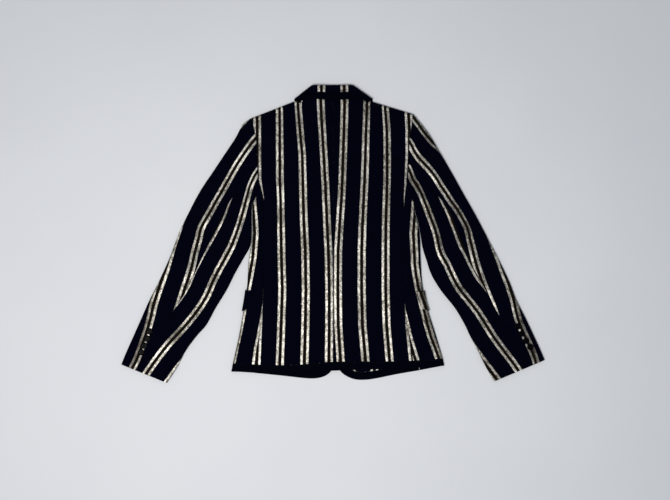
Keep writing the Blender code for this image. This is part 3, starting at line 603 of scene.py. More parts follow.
def outside(x, y, outline):
    """How far points lie outside a closed outline, or 0 inside it."""
    inside = np.zeros(np.shape(x), bool)
    nearest = np.full(np.shape(x), np.inf)
    for a, b in zip(outline, outline[1:] + outline[:1]):
        nearest = np.minimum(nearest, away_from(x, y, a, b))
        if a[1] != b[1]:
            crosses = ((a[1] > y) != (b[1] > y)) & (x < a[0] + (y - a[1]) * (b[0] - a[0]) / (b[1] - a[1]))
            inside ^= crosses
    return np.where(inside, 0.0, nearest)


def zones(side):
    """Outlines of what lies between a front and the surface: lapel, collar end and pocket flap."""
    lapel, collar, flap = LAPEL[side], COLLAR_END[side], FLAP[side]
    fold = 1 if side == "left" else 3
    return (
        tuple(row[:2] for row in lapel) + tuple(row[2:] for row in reversed(lapel)),
        (COLLAR[0][fold : fold + 2], collar[:2], collar[2:], COLLAR[1][fold : fold + 2]),
        tuple(row[2:4] for row in flap) + tuple(row[4:] for row in reversed(flap)),
    )


ZONES = {"left": zones("left") + (OVERLAP,), "right": zones("right")}


def button_rise(x, y):
    """How far the front button lifts the cloth over it."""
    away = np.hypot(x - FRONT_BUTTON[0], y - FRONT_BUTTON[1])
    return LAYER * soft(1 - (away - FRONT_BUTTON_ZONE) / FRONT_BUTTON_RAMP)


def lift(x, y, side):
    """Height of the lower layer's underside on one side of the blazer."""
    away = np.min([outside(x, y, outline) for outline in ZONES[side]], axis=0)
    return LAYER * soft(1 - (away - ZONE_MARGIN) / ZONE_RAMP) + button_rise(x, y)


def ridges(table, x, y):
    """Height of all ridges of a table at plan points. Hollows count as less than 0."""
    height = np.zeros(np.shape(x))
    for x0, y0, x1, y1, half_width, rise in table:
        away = away_from(x, y, (x0, y0), (x1, y1)) / half_width
        height += rise * np.clip(1 - away * away, 0, 1) ** 2
    return height


def plain_top(x, y):
    """Height of the upper layer's outer face without its creases."""
    return STACK + button_rise(x, y) + ridges(FOLDS, x, y)


def top(x, y):
    """Height of the upper layer's outer face, with its creases."""
    return plain_top(x, y) + bpy.context.scene.blazer.crease_depth * ridges(CREASES, x, y)


def outward(side):
    return -1 if side == "left" else 1


def body_armhole(side):
    return shifted(lambda u: at(ARMHOLE[side], u), -outward(side) * GAP)


def seam_lines():
    """Seams that show on the upper layer, as plan points."""
    u = np.linspace(0, 1, SEAM_LINE_POINTS)
    lines = [at(CENTRE_SEAM, u)]
    for side in SIDES:
        sleeve = at(SLEEVE[side], u)
        lines += [
            at(ARMHOLE[side], u),
            at(PRINCESS[side], u),
            mix(sleeve[:, :2], sleeve[:, 2:4], sleeve[:, 4]),
            shoulder_seam(side)(u),
        ]
    return lines


def seam_dip(x, y):
    """How far the cloth rolls down into the nearest seam."""
    left, right = np.min(x) - SEAM_REACH, np.max(x) + SEAM_REACH
    low, high = np.min(y) - SEAM_REACH, np.max(y) + SEAM_REACH
    away = np.full(np.shape(x), np.inf)
    for line in SEAM_LINES:
        for a, b in zip(line, line[1:]):
            if left < a[0] < right and low < a[1] < high:
                away = np.minimum(away, away_from(x, y, a, b))
    return np.exp(-((away / SEAM_ROLL) ** 2))


def at_height(xy, z):
    return np.concatenate((xy, z[..., None]), axis=-1)


def upper(xy, above=0.0, dip=True):
    """Outer and inner points of a shell in the upper layer."""
    x, y = xy[..., 0], xy[..., 1]
    z = top(x, y) + above
    if dip:
        z = z - size_of("seam_depth") * seam_dip(x, y)
    return at_height(xy, z), at_height(xy, z - size_of("cloth_thickness"))


def lower(xy, side, flat=False):
    """Outer and inner points of a shell in the lower layer."""
    x, y = xy[..., 0], xy[..., 1]
    z = ridges(UNDER_CREASES, x, y) * bpy.context.scene.blazer.crease_depth
    if not flat:
        z = z + lift(x, y, side)
    return at_height(xy, z), at_height(xy, z + size_of("cloth_thickness"))


def turn(edge, over, under, high, low):
    """A fold from the upper layer to the lower one, for each row of a panel."""
    thick = size_of("cloth_thickness")
    share = np.arange(1, TURN_STEPS) / TURN_STEPS
    angle = math.pi * share
    middle, half = ((high + low) / 2)[:, None], ((high - low) / 2)[:, None]
    centre = mix(over[:, None], under[:, None], share)
    arm = edge[:, None] - centre
    reach = np.maximum(np.hypot(arm[..., 0], arm[..., 1]), thick)
    inner = ((reach - thick) / reach)[..., None]
    out = np.sin(angle)[None, :, None]
    rise = np.cos(angle)[None, :]
    outer = at_height(centre + arm * out, middle + half * rise)
    inside = at_height(centre + arm * out * inner, middle + (half - thick) * rise)
    return outer, inside


def folded(ends, side, t, counts, count, above=0.0, flat=False, again=(), mirrored=True):
    """Rows of a shell that run along one plan, round the fold at share 0, and back along another.

    ends holds both plans and the share at which each ends. count gives the stripe count at a plan point.
    Where the stripes cross the fold it is mirrored under it.
    """
    over, over_end, under, under_end = ends
    t = np.asarray(t, float)[:, None]
    edge = over(0.0, t)[:, 0]
    reach = (STACK + above) / 2
    over_length = np.linalg.norm(over(1.0, t)[:, 0] - edge, axis=-1)[:, None]
    under_length = np.linalg.norm(under(1.0, t)[:, 0] - edge, axis=-1)[:, None]
    start, finish = reach / over_length, reach / under_length
    over_end = np.broadcast_to(np.asarray(over_end, float).reshape(-1, 1), start.shape)
    under_end = np.broadcast_to(np.asarray(under_end, float).reshape(-1, 1), start.shape)
    plan_over = over(over_end + (start - over_end) * graded(0, 1, counts[0]), t)
    shares = finish + (under_end - finish) * graded(0, 1, counts[1])
    if len(again):
        shares = np.concatenate((shares, np.broadcast_to(again, (len(t), len(again)))), axis=1)
    plan_under = under(shares, t)
    outer_up, inner_up = upper(plan_over, above)
    outer_low, inner_low = lower(plan_under, side, flat)
    outer_turn, inner_turn = turn(
        edge, plan_over[:, -1], plan_under[:, 0], outer_up[:, -1, 2], outer_low[:, 0, 2]
    )
    up = count(plan_over[..., 0], plan_over[..., 1])
    low = count(plan_under[..., 0], plan_under[..., 1])
    if mirrored:
        low = 2 * count(edge[:, :1], edge[:, 1:]) - low
    bend = up[:, -1:] + (low[:, :1] - up[:, -1:]) * (np.arange(1, TURN_STEPS) / TURN_STEPS)
    outer, inner = (outer_up, outer_turn, outer_low), (inner_up, inner_turn, inner_low)
    return [np.concatenate(parts, axis=1) for parts in (outer, inner, (up, bend, low))]


def with_legs(plan, face, edges, ends, lengths, reach, count, flat=False):
    """Outer and inner points of an upper band whose two ends are folded round on to the lower layer."""
    parts = [face]
    for side, last, edge, end, length in zip(SIDES, (0, -1), edges, ends, lengths):
        share = reach / length[:, None]
        plan_leg = mix(edge[:, None], end[:, None], share + (1 - share) * graded(0, 1, count))
        leg = lower(plan_leg, side, flat)
        bend = turn(edge, plan[:, last], plan_leg[:, 0], face[0][:, last, 2], leg[0][:, 0, 2])
        joint = [np.concatenate(pair, axis=1) for pair in zip(bend, leg)]
        parts = [[part[:, ::-1] for part in joint], *parts] if side == "left" else [*parts, joint]
    return [np.concatenate([part[k] for part in parts], axis=1) for k in (0, 1)]


def run_length(points):
    """Length along a line up to each of its points, in metres."""
    return np.concatenate(([0.0], np.cumsum(np.linalg.norm(np.diff(points, axis=0), axis=1)))) * MM


def stripe_light_after_painted_shade(points):
    """Share of the stripes' colour kept at each point: less where painted shade darkens the upper side."""
    painted_shade_depth = np.where(points[:, 2] > STACK / 2, ridges(PAINTED_SHADE_ZONES, points[:, 0], points[:, 1]), 0)
    return 1 - np.clip(painted_shade_depth, 0, MOST_PAINTED_SHADE)


def shell(name, outer, inner, u, nodes, slot, material, edge_material=None, edge=((), ()), sideways=False):
    """A closed thin shell through rows of outer and inner points.

    Its UV map holds the stripe count and the length along the rows, or along the columns if sideways.
    edge lists the rows and the columns that have the edge material between them.
    """
    rows, columns = outer.shape[:2]
    ring = np.concatenate((outer, inner[:, ::-1]), axis=1)
    uv = np.empty((rows, 2 * columns, 2))
    uv[..., 0] = np.concatenate((u, u[:, ::-1]), axis=1)
    if sideways:
        along = run_length(outer[rows // 2])
        uv[..., 1] = np.concatenate((along, along[::-1]))
    else:
        uv[..., 1] = run_length(outer[:, columns // 2])[:, None]
    index = np.arange(rows * 2 * columns).reshape(rows, 2 * columns)
    step = np.roll(index, -1, axis=1)
    walls = np.stack((index[:-1], step[:-1], step[1:], index[1:]), axis=-1).reshape(-1, 4)
    caps = []
    for row, order in ((0, -1), (-1, 1)):
        face, back = index[row, :columns], index[row, columns:][::-1]
        caps.append(np.stack((face[:-1], face[1:], back[1:], back[:-1]), axis=-1)[:, ::order])
    faces = np.concatenate((walls, *caps))
    points = ring.reshape(-1, 3) * MM
    a, b, c, d = (points[faces[:, k]] for k in range(4))
    if np.sum(a * np.cross(b - a, c - a) + a * np.cross(c - a, d - a)) < 0:
        faces = faces[:, ::-1]
    mesh = bpy.data.meshes.new(name)
    mesh.from_pydata(points.tolist(), [], faces.tolist())
    layer = mesh.uv_layers.new(name="Cloth")
    corners = np.empty(len(mesh.loops), np.int32)
    mesh.loops.foreach_get("vertex_index", corners)
    layer.data.foreach_set("uv", uv.reshape(-1, 2)[corners].ravel())
    # Painted shade: per point, how much of the stripes' colour is kept; less where they are darkened as if
    # turned from the light
    painted_shade_factor = mesh.attributes.new("Glint", "FLOAT", "POINT")
    painted_shade_factor.data.foreach_set("value", stripe_light_after_painted_shade(ring.reshape(-1, 3)))
    mesh.shade_smooth()
    mesh.set_sharp_from_angle(angle=math.radians(CLOTH_SMOOTH))
    mesh.materials.append(material)
    if edge_material:
        mesh.materials.append(edge_material)
        row, column = np.divmod(np.arange(len(points)), 2 * columns)
        places = (row, np.minimum(column, 2 * columns - 1 - column))
        on_edge = [np.isin(place, part)[faces].all(axis=1) for place, part in zip(places, edge)]
        mesh.polygons.foreach_set("material_index", np.any(on_edge, axis=0).astype(np.int32))
    return finish(name, mesh, nodes, slot)


def add_object(name, data):
    """A new object in the scene's collection."""
    thing = bpy.data.objects.new(name, data)
    bpy.context.scene.collection.objects.link(thing)
    return thing


def finish(name, mesh, nodes, slot):
    """Shows a mesh as a piece on the blazer in place of its nodes."""
    piece = add_object(name, mesh)
    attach(piece, "root")
    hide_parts(*nodes)
    return piece


def cloth_piece(node, rows, under=(), edge=(), border=False, sideways=False):
    """A sheet of cloth in place of the node of the same name."""
    slot = "black_border" if border else "striped_cloth"
    material = finish_named("Black ribbed border" if border else "Striped lurex cloth")
    edge_material = finish_named("Black ribbed border") if len(edge) else None
    piece = shell(node + "_cloth", *rows, (node,), slot, material, edge_material, edge, sideways)
    list(under)
    return piece


def stripes_across(table):
    """A function that counts stripe pairs at plan points, from rows of the middles of the pairs."""
    rows = np.array(table)

    def count(x, y):
        spacing = size_of("stripe_spacing")
        middles = [np.interp(-y, -rows[:, 0], column) for column in rows[:, 1:].T]
        u = (x - middles[0]) / spacing
        for pair in range(1, len(middles)):
            gap = middles[pair] - middles[pair - 1]
            u = np.where(x > middles[pair - 1], pair - 1 + (x - middles[pair - 1]) / gap, u)
        last = len(middles) - 1
        return np.where(x > middles[last], last + (x - middles[last]) / spacing, u)

    return count


def beside(table):
    """A function for the distance from a line, positive on the left of its way through the table."""
    line = at(table, np.linspace(0, 1, LINE_POINTS))

    def count(x, y):
        best = np.full(np.shape(x), np.inf)
        u = np.zeros(np.shape(x))
        for a, b in zip(line, line[1:]):
            away = away_from(x, y, a, b)
            turned = (b[0] - a[0]) * (y - a[1]) - (b[1] - a[1]) * (x - a[0])
            closer = away < best
            best = np.where(closer, away, best)
            u = np.where(closer, np.where(turned > 0, away, -away), u)
        return u

    return count


def stripes_beside(table, next_table, outer):
    """A function that counts stripe pairs from one pair's middle line and from the next pair's outside it."""
    first, second = beside(table), beside(next_table)

    def count(x, y):
        spacing = size_of("stripe_spacing")
        a, b = first(x, y) * outer, second(x, y) * outer
        between = a / np.maximum(a - b, 1e-3)
        return outer * np.where(a < 0, a / spacing, np.where(b > 0, 1 + b / spacing, between))

    return count


def stripes_from(middle):
    """A function that counts straight stripe pairs from the one whose middle is at x."""
    return lambda x, y: (x - middle) / size_of("stripe_spacing")


def front_stripes(side):
    """Straight stripe pairs that swing over to the back's pairs towards the shoulder fold."""
    straight, back = stripes_from(FRONT_STRIPE[side]), stripes_across(BACK_STRIPES[side])
    (x0, y0), (x1, y1) = at(ARMHOLE[side], 0.0), SIDE_NECK[side]
    middle = (x0 + x1) / 2, (y0 + y1) / 2
    whole = np.round(straight(*middle) - back(*middle))

    def count(x, y):
        fold = y0 + (x - x0) * (y1 - y0) / (x1 - x0)
        share = soft((fold - y) / SHOULDER_SWING)
        matched = back(x, y) + whole
        return matched + (straight(x, y) - matched) * share

    return count


def make_sleeve(side):
    """Topsleeve round the outer edge and undersleeve round the inner one, with the elbow seam between."""
    dx = outward(side) * GAP
    edge_out = shifted(lambda t: at(SLEEVE[side], t)[..., :2], dx)
    edge_in = shifted(lambda t: at(SLEEVE[side], t)[..., 2:4], dx)
    start = shifted(lambda s: at(ARMHOLE[side], s), dx)
    place = patch(edge_out, edge_in, start, fade=SLEEVE_FADE)
    back = lambda s, t: place(1 - np.asarray(s, float), t)
    t = np.linspace(0, 1, SLEEVE_ROWS)
    seam = at(SLEEVE[side], t)[:, 4]
    half = SEAM / 2 / np.linalg.norm(place(1.0, t) - place(0.0, t), axis=-1)
    count = stripes_beside(TOP_STRIPE[side], OUTER_STRIPE[side], outward(side))
    ends = place, seam - half, place, FOREARM_SEAM - half
    cloth_piece("topsleeve_" + side, folded(ends, side, t, TOPSLEEVE_COLUMNS, count, flat=True))
    count = stripes_beside(UNDER_STRIPE[side], ELBOW_STRIPE[side], outward(side))
    ends = back, 1 - seam - half, back, 1 - FOREARM_SEAM - half
    cloth_piece("undersleeve_" + side, folded(ends, side, t, UNDERSLEEVE_COLUMNS, count, flat=True))


def front_border_edges(side):
    """Outer edge of a front's border, and its inner edge a border's width inside."""
    outer = lambda u: at(FRONT_EDGE[side], u)

    def inner(u):
        u = np.clip(u, 0, 1)
        along = outer(np.minimum(u + EDGE_STEP, 1)) - outer(np.maximum(u - EDGE_STEP, 0))
        size = np.linalg.norm(along, axis=-1)[..., None] * -outward(side)
        return outer(u) + np.stack((-along[..., 1], along[..., 0]), axis=-1) / size * BORDER

    return outer, inner


def front_patch(side):
    """Plan of a front: s from the side to the centre, t from the shoulder fold to the border."""
    inward = -outward(side)
    seam = shifted(lambda u: at(FRONT_SEAM[side], u), inward * GAP / 2)
    side_edge = joined(part_of(body_armhole(side), 0, ARMHOLE_TO_FRONT_SEAM), seam, FRONT_JOIN)
    _, border = front_border_edges(side)
    edge = shifted(part_of(border, 1, FRONT_CORNER), -inward * GAP, GAP)
    centre_edge = joined(lambda u: at(FRONT_ROLL[side], u), edge, FRONT_EDGE_JOIN)
    bottom = shifted(part_of(border, 0, FRONT_CORNER), 0, GAP)
    shoulder = lambda s: mix(side_edge(0.0), SIDE_NECK[side], s)
    return patch(side_edge, centre_edge, shoulder, bottom)


def shoulder_seam(side):
    """The shoulder seam on the upper layer, straight from the armhole to the neck."""
    place = front_patch(side)
    ends = []
    for s in (0.0, 1.0):
        fold, below = place(s, 0.0), place(s, EDGE_STEP)
        ends.append(mix(fold, below, SHOULDER_SEAM / np.linalg.norm(below - fold)))
    return lambda s: mix(*ends, s)


SEAM_LINES = seam_lines()


def neck_seam(side):
    """The back neck seam from the end of the shoulder seam to the centre."""
    table = (tuple(shoulder_seam(side)(1.0)),) + NECK_SEAM[side]
    return lambda u: at(table, u)


def make_front(side):
    """A front, from the shoulder seam over the fold and down to its border."""
    place = front_patch(side)
    seam = shoulder_seam(side)
    column = lambda t, s: place(s, t)
    over = lambda v, s: mix(place(s, 0.0), seam(s), v)
    s = graded(0, 1, FRONT_ROWS)
    below = FRONT_JOIN + (1 - FRONT_JOIN) * graded(0, 1, FRONT_COLUMNS_BELOW)[1:]
    ends = over, 1.0, column, FRONT_JOIN
    rows = folded(ends, side, s, FRONT_COLUMNS, front_stripes(side), again=below, mirrored=False)
    cloth_piece("front_" + side, rows, ("front_border_" + side,), sideways=True)


def make_back(side):
    """A back half, from the shoulder and neck seams to the hem border."""
    inward = -outward(side)
    armhole = body_armhole(side)
    level = shoulder_seam(side)(0.0)[1] - GAP
    shares = np.linspace(*BACK_STARTS)
    start_share = shares[np.argmin(np.abs(armhole(shares)[:, 1] - level))]
    princess = shifted(lambda u: at(PRINCESS[side], u), inward * SEAM / 2)
    side_edge = joined(part_of(armhole, start_share, ARMHOLE_TO_PRINCESS), princess, BACK_JOIN)
    centre = shifted(lambda u: at(CENTRE_SEAM, u), outward(side) * SEAM / 2)
    crown = shifted(joined(shoulder_seam(side), neck_seam(side), 0.5), 0, -GAP)
    ends = PRINCESS[side][-1][0], CENTRE_SEAM[-1][0]
    across = lambda s: ends[0] + (ends[1] - ends[0]) * np.asarray(s, float)
    hem = lambda s: np.stack((across(s), np.interp(across(s), HEM_X, HEM_TOP)), axis=-1)
    place = patch(side_edge, centre, crown, hem, fade=BACK_FADE)
    s, t = np.meshgrid(*(graded(0, 1, count) for count in BACK_POINTS))
    plan = place(s, t)
    u = stripes_across(BACK_STRIPES[side])(plan[..., 0], plan[..., 1])
    cloth_piece("back_" + side, (*upper(plan), u), ("front_" + side,))


def make_side(side):
    """A side panel, folded round the body's side."""
    inward = -outward(side)
    fold = lambda t: at(SIDE_FOLD[side], t)
    princess = shifted(lambda t: at(PRINCESS[side], t), -inward * SEAM / 2)
    seam = shifted(lambda t: at(FRONT_SEAM[side], t), -inward * GAP / 2)
    armhole = body_armhole(side)
    above = patch(fold, princess, part_of(armhole, 1, ARMHOLE_TO_PRINCESS), fade=SIDE_FADE)
    beneath = patch(fold, seam, part_of(armhole, 1, ARMHOLE_TO_FRONT_SEAM), fade=SIDE_FADE)
    t = np.linspace(0, SIDE_END, SIDE_ROWS)
    count = stripes_across(SIDE_STRIPES[side])
    cloth_piece("side_" + side, folded((above, 1.0, beneath, 1.0), side, t, SIDE_COLUMNS, count))


def make_lapel(side):
    """Lapel: a narrow leg level with the front, the roll, and the turned part under the front."""
    thick = size_of("cloth_thickness")
    lapel = at(LAPEL[side], np.linspace(0, 1, LAPEL_ROWS))
    roll, outer_edge = lapel[:, :2], lapel[:, 2:]
    size = np.linalg.norm(outer_edge - roll, axis=-1)[:, None]
    reach = (LAYER + WALL) / 2 / size
    leg_shares = ROLL_LEG / size + (reach - ROLL_LEG / size) * graded(0, 1, LAPEL_COLUMNS[0])
    plan_leg = mix(roll[:, None], outer_edge[:, None], leg_shares)
    level = np.full(plan_leg.shape[:2], LAYER + WALL)
    shares = reach + (1 - reach) * graded(0, 1, LAPEL_COLUMNS[1])
    plan_low = mix(roll[:, None], outer_edge[:, None], shares)
    flat = np.zeros(plan_low.shape[:2])
    bend = turn(roll, plan_leg[:, -1], plan_low[:, 0], level[:, -1], flat[:, 0])
    outer, inner = (
        np.concatenate((at_height(plan_leg, high), part, at_height(plan_low, low)), axis=1)
        for high, part, low in ((level, bend[0], flat), (level - thick, bend[1], flat + thick))
    )
    on_leg = np.broadcast_to(-shares[:, :1], level.shape)
    across = np.concatenate((on_leg, np.zeros(bend[0].shape[:2]), shares), axis=1)
    u = (size - across * size) / size_of("stripe_spacing") + LAPEL_STRIPE
    edge = [k for k in range(outer.shape[1]) if np.mean((1 - across[:, k]) * size[:, 0]) < BORDER]
    cloth_piece("lapel_" + side, (outer, inner, u), edge=((), edge))


def make_collar_band(name, first, last, rows, count, border):
    """A band of the collar fall, folded round both sides of the neck on to the fronts."""
    t = np.linspace(first, last, rows)[:, None]
    folds = [mix(COLLAR[0][k : k + 2], COLLAR[1][k : k + 2], t[:, 0]) for k in (1, 3)]
    chord = mix(COLLAR_EDGE[0], COLLAR_EDGE[-1], np.linspace(0, 1, 2))
    bow = lambda s: at(COLLAR_EDGE, s)[..., 1] - mix(*chord, s)[..., 1]
    reach = (STACK + LAYER) / 2
    width = np.linalg.norm(folds[1] - folds[0], axis=-1)[:, None]
    s = reach / width + (1 - 2 * reach / width) * graded(0, 1, COLLAR_COLUMNS[0])
    plan = mix(folds[0][:, None], folds[1][:, None], s)
    plan[..., 1] += bow(s) * t
    drop = COLLAR_ROLL_DROP * np.clip(1 - t / (COLLAR_BORDER_START / 4), 0, 1)
    face = upper(plan, LAYER + GAP - drop, dip=False)
    ends = [mix(COLLAR_END[side][:2], COLLAR_END[side][2:], t[:, 0]) for side in SIDES]
    lengths = [np.linalg.norm(end - edge, axis=-1) for edge, end in zip(folds, ends)]
    outer, inner = with_legs(plan, face, folds, ends, lengths, reach, COLLAR_COLUMNS[1], flat=True)
    if first == 0:
        outer, inner = rolled(outer, inner, size_of("collar_roll"))
    u = count(outer[..., 0], outer[..., 1])
    cloth_piece(name, (outer, inner, u), border=border, sideways=border)


def rolled(outer, inner, radius):
    """Adds a half-round roll along the first row of a band, from its underside to its face."""
    thick = size_of("cloth_thickness")
    onward = outer[3] - outer[0]
    onward /= np.linalg.norm(onward, axis=-1)[:, None]
    inward = inner[0] - outer[0]
    inward /= np.linalg.norm(inward, axis=-1)[:, None]
    edge = outer[0].copy()
    outer[0] = edge + onward * radius
    inner[0] = outer[0] + inward * thick
    axis = edge + (onward + inward) * radius
    angle = np.linspace(math.pi, 0, ROLL_STEPS)[:-1, None, None]
    arm = -onward * np.sin(angle) - inward * np.cos(angle)
    keep = np.linalg.norm(outer - outer[:1], axis=-1).max(axis=1) > ROLL_CLEARANCE
    keep[0] = True
    outer = np.concatenate((axis + arm * radius, outer[keep]))
    inner = np.concatenate((axis + arm * (radius - thick), inner[keep]))
    return outer, inner


def make_stand():
    """The collar stand, between the neck seam and the roll."""
    left, right = neck_seam("left"), neck_seam("right")
    seam = shifted(joined(left, part_of(right, 1, 0), 0.5), 0, GAP)
    s, t = np.meshgrid(np.linspace(*STAND_ENDS, STAND_POINTS[0]), np.linspace(0, 1, STAND_POINTS[1]))
    plan = mix(mix(*STAND_ROLL, s), seam(s), t)
    u = stripes_from(COLLAR_STRIPE)(plan[..., 0], plan[..., 1])
    cloth_piece("collar_stand", (*upper(plan, dip=False), u))


def make_flap(side):
    """A pocket flap, folded round the body's side on to the front."""
    t = np.linspace(0, 1, FLAP_ROWS)
    at_row = lambda t: at(FLAP[side], t)
    over = lambda s, t: mix(at_row(t)[..., 2:4], at_row(t)[..., :2], s)
    under = lambda s, t: mix(at_row(t)[..., 2:4], at_row(t)[..., 4:], s)
    count = stripes_across(FLAP_STRIPES[side])
    rows = folded((over, 1.0, under, 1.0), side, t, FLAP_COLUMNS, count, above=LAYER, flat=True)
    cloth_piece("flap_" + side, rows, edge=((0, 1, 2), ()))


def make_hem_border():
    """Border of back and sides, folded round both sides."""
    t = np.linspace(0, 1, HEM_ROWS)[:, None]
    tops = np.array([(row[0], row[1] - HEM_GAP) for row in HEM])
    bottoms = np.array([(row[0], row[2]) for row in HEM])
    reach = STACK / 2
    shifts = (0, -HEM_REACH), (-1, HEM_REACH)
    folds = [mix(tops[k], bottoms[k] + (shift, 0), t[:, 0]) for k, shift in shifts]
    share = graded(0, 1, HEM_COLUMNS[0])
    x = (folds[0][:, :1] + reach) + (folds[1][:, :1] - folds[0][:, :1] - 2 * reach) * share
    y = np.interp(x, tops[:, 0], tops[:, 1]) * (1 - t) + np.interp(x, bottoms[:, 0], bottoms[:, 1]) * t
    plan = np.stack((x, y), axis=-1)
    ends = [mix((end, high - GAP), (end, low), t[:, 0]) for end, high, low in HEM_UNDER.values()]
    lengths = [np.abs(end[:, 0] - fold[:, 0]) for fold, end in zip(folds, ends)]
    outer, inner = with_legs(plan, upper(plan), folds, ends, lengths, reach, HEM_COLUMNS[1])
    u = np.broadcast_to(t * BORDER / RIB_REPEAT, outer.shape[:2])
    cloth_piece("hem_border", (outer, inner, u), border=True, sideways=True)


def make_front_border(side):
    """The plain border along a front's hem, corner and edge."""
    edge_out, edge_in = front_border_edges(side)
    u, s = np.meshgrid(*(np.linspace(0, 1, count) for count in FRONT_BORDER_POINTS), indexing="ij")
    rows = *lower(mix(edge_out(u), edge_in(u), s), side), s * BORDER / RIB_REPEAT
    cloth_piece("front_border_" + side, rows, border=True)


def make_button(node, x, y, z, size):
    """A round button with a raised rim, a dish and four thread holes, in place of its node."""
    name = node + "_turned"
    radius, thick = size
    hole, spread = size_of("hole_radius"), size_of("hole_spread")
    dish_end, dish_rings, rim_start, rim_rings = BUTTON_RINGS
    radii = np.concatenate((np.linspace(0, dish_end, dish_rings), np.linspace(rim_start, 1.0, rim_rings)))
    radii = radii[1:] * radius
    angles = np.linspace(0, 2 * math.pi, BUTTON_CORNERS, endpoint=False)
    around = radii[:, None, None] * np.column_stack((np.cos(angles), np.sin(angles)))
    px, py = around[..., 0], around[..., 1]
    share = np.hypot(px, py) / radius
    height = BUTTON_DISH + (1 - BUTTON_DISH) * np.exp(-(((share - RIM_PLACE) / RIM_WIDTH) ** 2))
    rounding = np.sqrt(np.clip(1 - ((share - BUTTON_EDGE) / (1 - BUTTON_EDGE)) ** 2, 0, 1))
    height = np.where(share > BUTTON_EDGE, BUTTON_SIDE[0] + BUTTON_SIDE[1] * rounding, height)
    for hx, hy in ((1, 1), (-1, 1), (-1, -1), (1, -1)):
        away = np.hypot(px - hx * spread, py - hy * spread)
        height = np.where(away < hole, np.minimum(height, HOLE_FLOOR), height)
    face = at_height(around, thick * height)
    foot = at_height(around[-1] * BUTTON_FOOT, np.zeros(len(angles)))
    points = np.concatenate(([[0, 0, thick * BUTTON_DISH]], face.reshape(-1, 3), foot, [[0, 0, 0]]))
    points = (points + (x, y, z)) * MM
    n, rings = len(angles), len(radii)
    index = 1 + np.arange((rings + 1) * n).reshape(rings + 1, n)
    step = np.roll(index, -1, axis=1)
    walls = np.stack((index[:-1], index[1:], step[1:], step[:-1]), axis=-1).reshape(-1, 4).tolist()
    cap = [(0, int(index[0, k]), int(step[0, k])) for k in range(n)]
    foot_cap = [(len(points) - 1, int(step[-1, k]), int(index[-1, k])) for k in range(n)]
    mesh = bpy.data.meshes.new(name)
    mesh.from_pydata(points.tolist(), [], walls + cap + foot_cap)
    mesh.shade_smooth()
    mesh.set_sharp_from_angle(angle=math.radians(BUTTON_SMOOTH))
    mesh.materials.append(finish_named("Polished dark button"))
    return finish(name, mesh, (node,), "black_button")


def thread_runs(x, y, z):
    """The two crossing threads of a button, as edges between its holes."""
    spread = size_of("hole_spread")
    middle = x, y, z + BUTTON_THREAD[1]
    return [[(x - spread * k, y - spread, z), middle, (x + spread * k, y + spread, z)] for k in (1, -1)]


def seat(x, y):
    """Height at which a cuff button's foot clears the cloth under it."""
    angle = np.linspace(0, 2 * math.pi, 9)
    radius = CUFF_BUTTON_SIZE[0]
    return float(np.max(plain_top(x + radius * np.cos(angle), y + radius * np.sin(angle)))) + GAP


def paths_object(name, paths):
    """Loose edge chains in metres, as the guide for a row of stitches."""
    points, edges = [], []
    for path in paths:
        first = len(points)
        points += [tuple(value * MM for value in point) for point in path]
        edges += [(first + k, first + k + 1) for k in range(len(path) - 1)]
    mesh = bpy.data.meshes.new(name)
    mesh.from_pydata(points, edges, [])
    return add_object(name, mesh)


def fill(socket, value):
    """Links an input to another node's output, or gives it a value."""
    if isinstance(value, bpy.types.NodeSocket):
        socket.id_data.links.new(value, socket)
    else:
        socket.default_value = value


def add_node(tree, kind, inputs=(), **values):
    """A new node with its properties set and its inputs filled."""
    node = tree.nodes.new(kind)
    for name, value in values.items():
        setattr(node, name, value)
    for name, value in inputs:
        fill(node.inputs[name], value)
    return node


def stitch_tree():
    """Stitches of thread along the guide's edges."""
    tree = bpy.data.node_groups.new("Stitches along a guide", "GeometryNodeTree")
    face = tree.interface
    face.new_socket("Geometry", in_out="INPUT", socket_type="NodeSocketGeometry")
    for name, value in (("Stitch spacing", 0.0035), ("Stitch length", 0.0024), ("Thread radius", 0.0003)):
        socket = face.new_socket(name, in_out="INPUT", socket_type="NodeSocketFloat")
        socket.default_value = value
    face.new_socket("Seed", in_out="INPUT", socket_type="NodeSocketInt").default_value = 4
    face.new_socket("Thread", in_out="INPUT", socket_type="NodeSocketMaterial")
    face.new_socket("Geometry", in_out="OUTPUT", socket_type="NodeSocketGeometry")
    entry, leave = tree.nodes.new("NodeGroupInput"), tree.nodes.new("NodeGroupOutput")

    def step(kind, *inputs, **values):
        return add_node(tree, kind, inputs, **values).outputs[0]

    given = entry.outputs
    least, most = (tuple(sign * value for value in STITCH_JITTER) for sign in (-1, 1))
    curve = step("GeometryNodeMeshToCurve", ("Mesh", given["Geometry"]))
    length = ("Length", given["Stitch spacing"])
    dots = step("GeometryNodeResampleCurve", ("Curve", curve), length, mode="LENGTH")
    seed = ("Seed", given["Seed"])
    jitter = step("FunctionNodeRandomValue", (0, least), (1, most), seed, data_type="FLOAT_VECTOR")
    tangent = step("GeometryNodeInputTangent")
    aim = step("ShaderNodeVectorMath", (0, tangent), (1, jitter), operation="ADD")
    turned = step("FunctionNodeAlignRotationToVector", ("Vector", aim), axis="Z")
    radius = given["Thread radius"]
    bar = step("GeometryNodeMeshUVSphere", ("Segments", 6), ("Rings", 5), ("Radius", radius))
    ratio = step("ShaderNodeMath", (0, given["Stitch length"]), (1, radius), operation="DIVIDE")
    half = step("ShaderNodeMath", (0, ratio), (1, 0.5), operation="MULTIPLY")
    size = step("ShaderNodeCombineXYZ", (0, 1.0), (1, 1.0), (2, half))
    places = (("Points", dots), ("Instance", bar), ("Rotation", turned), ("Scale", size))
    placed = step("GeometryNodeInstanceOnPoints", *places)
    real = step("GeometryNodeRealizeInstances", ("Geometry", placed))
    painted = step("GeometryNodeSetMaterial", ("Geometry", real), ("Material", given["Thread"]))
    tree.links.new(painted, leave.inputs["Geometry"])
    return tree


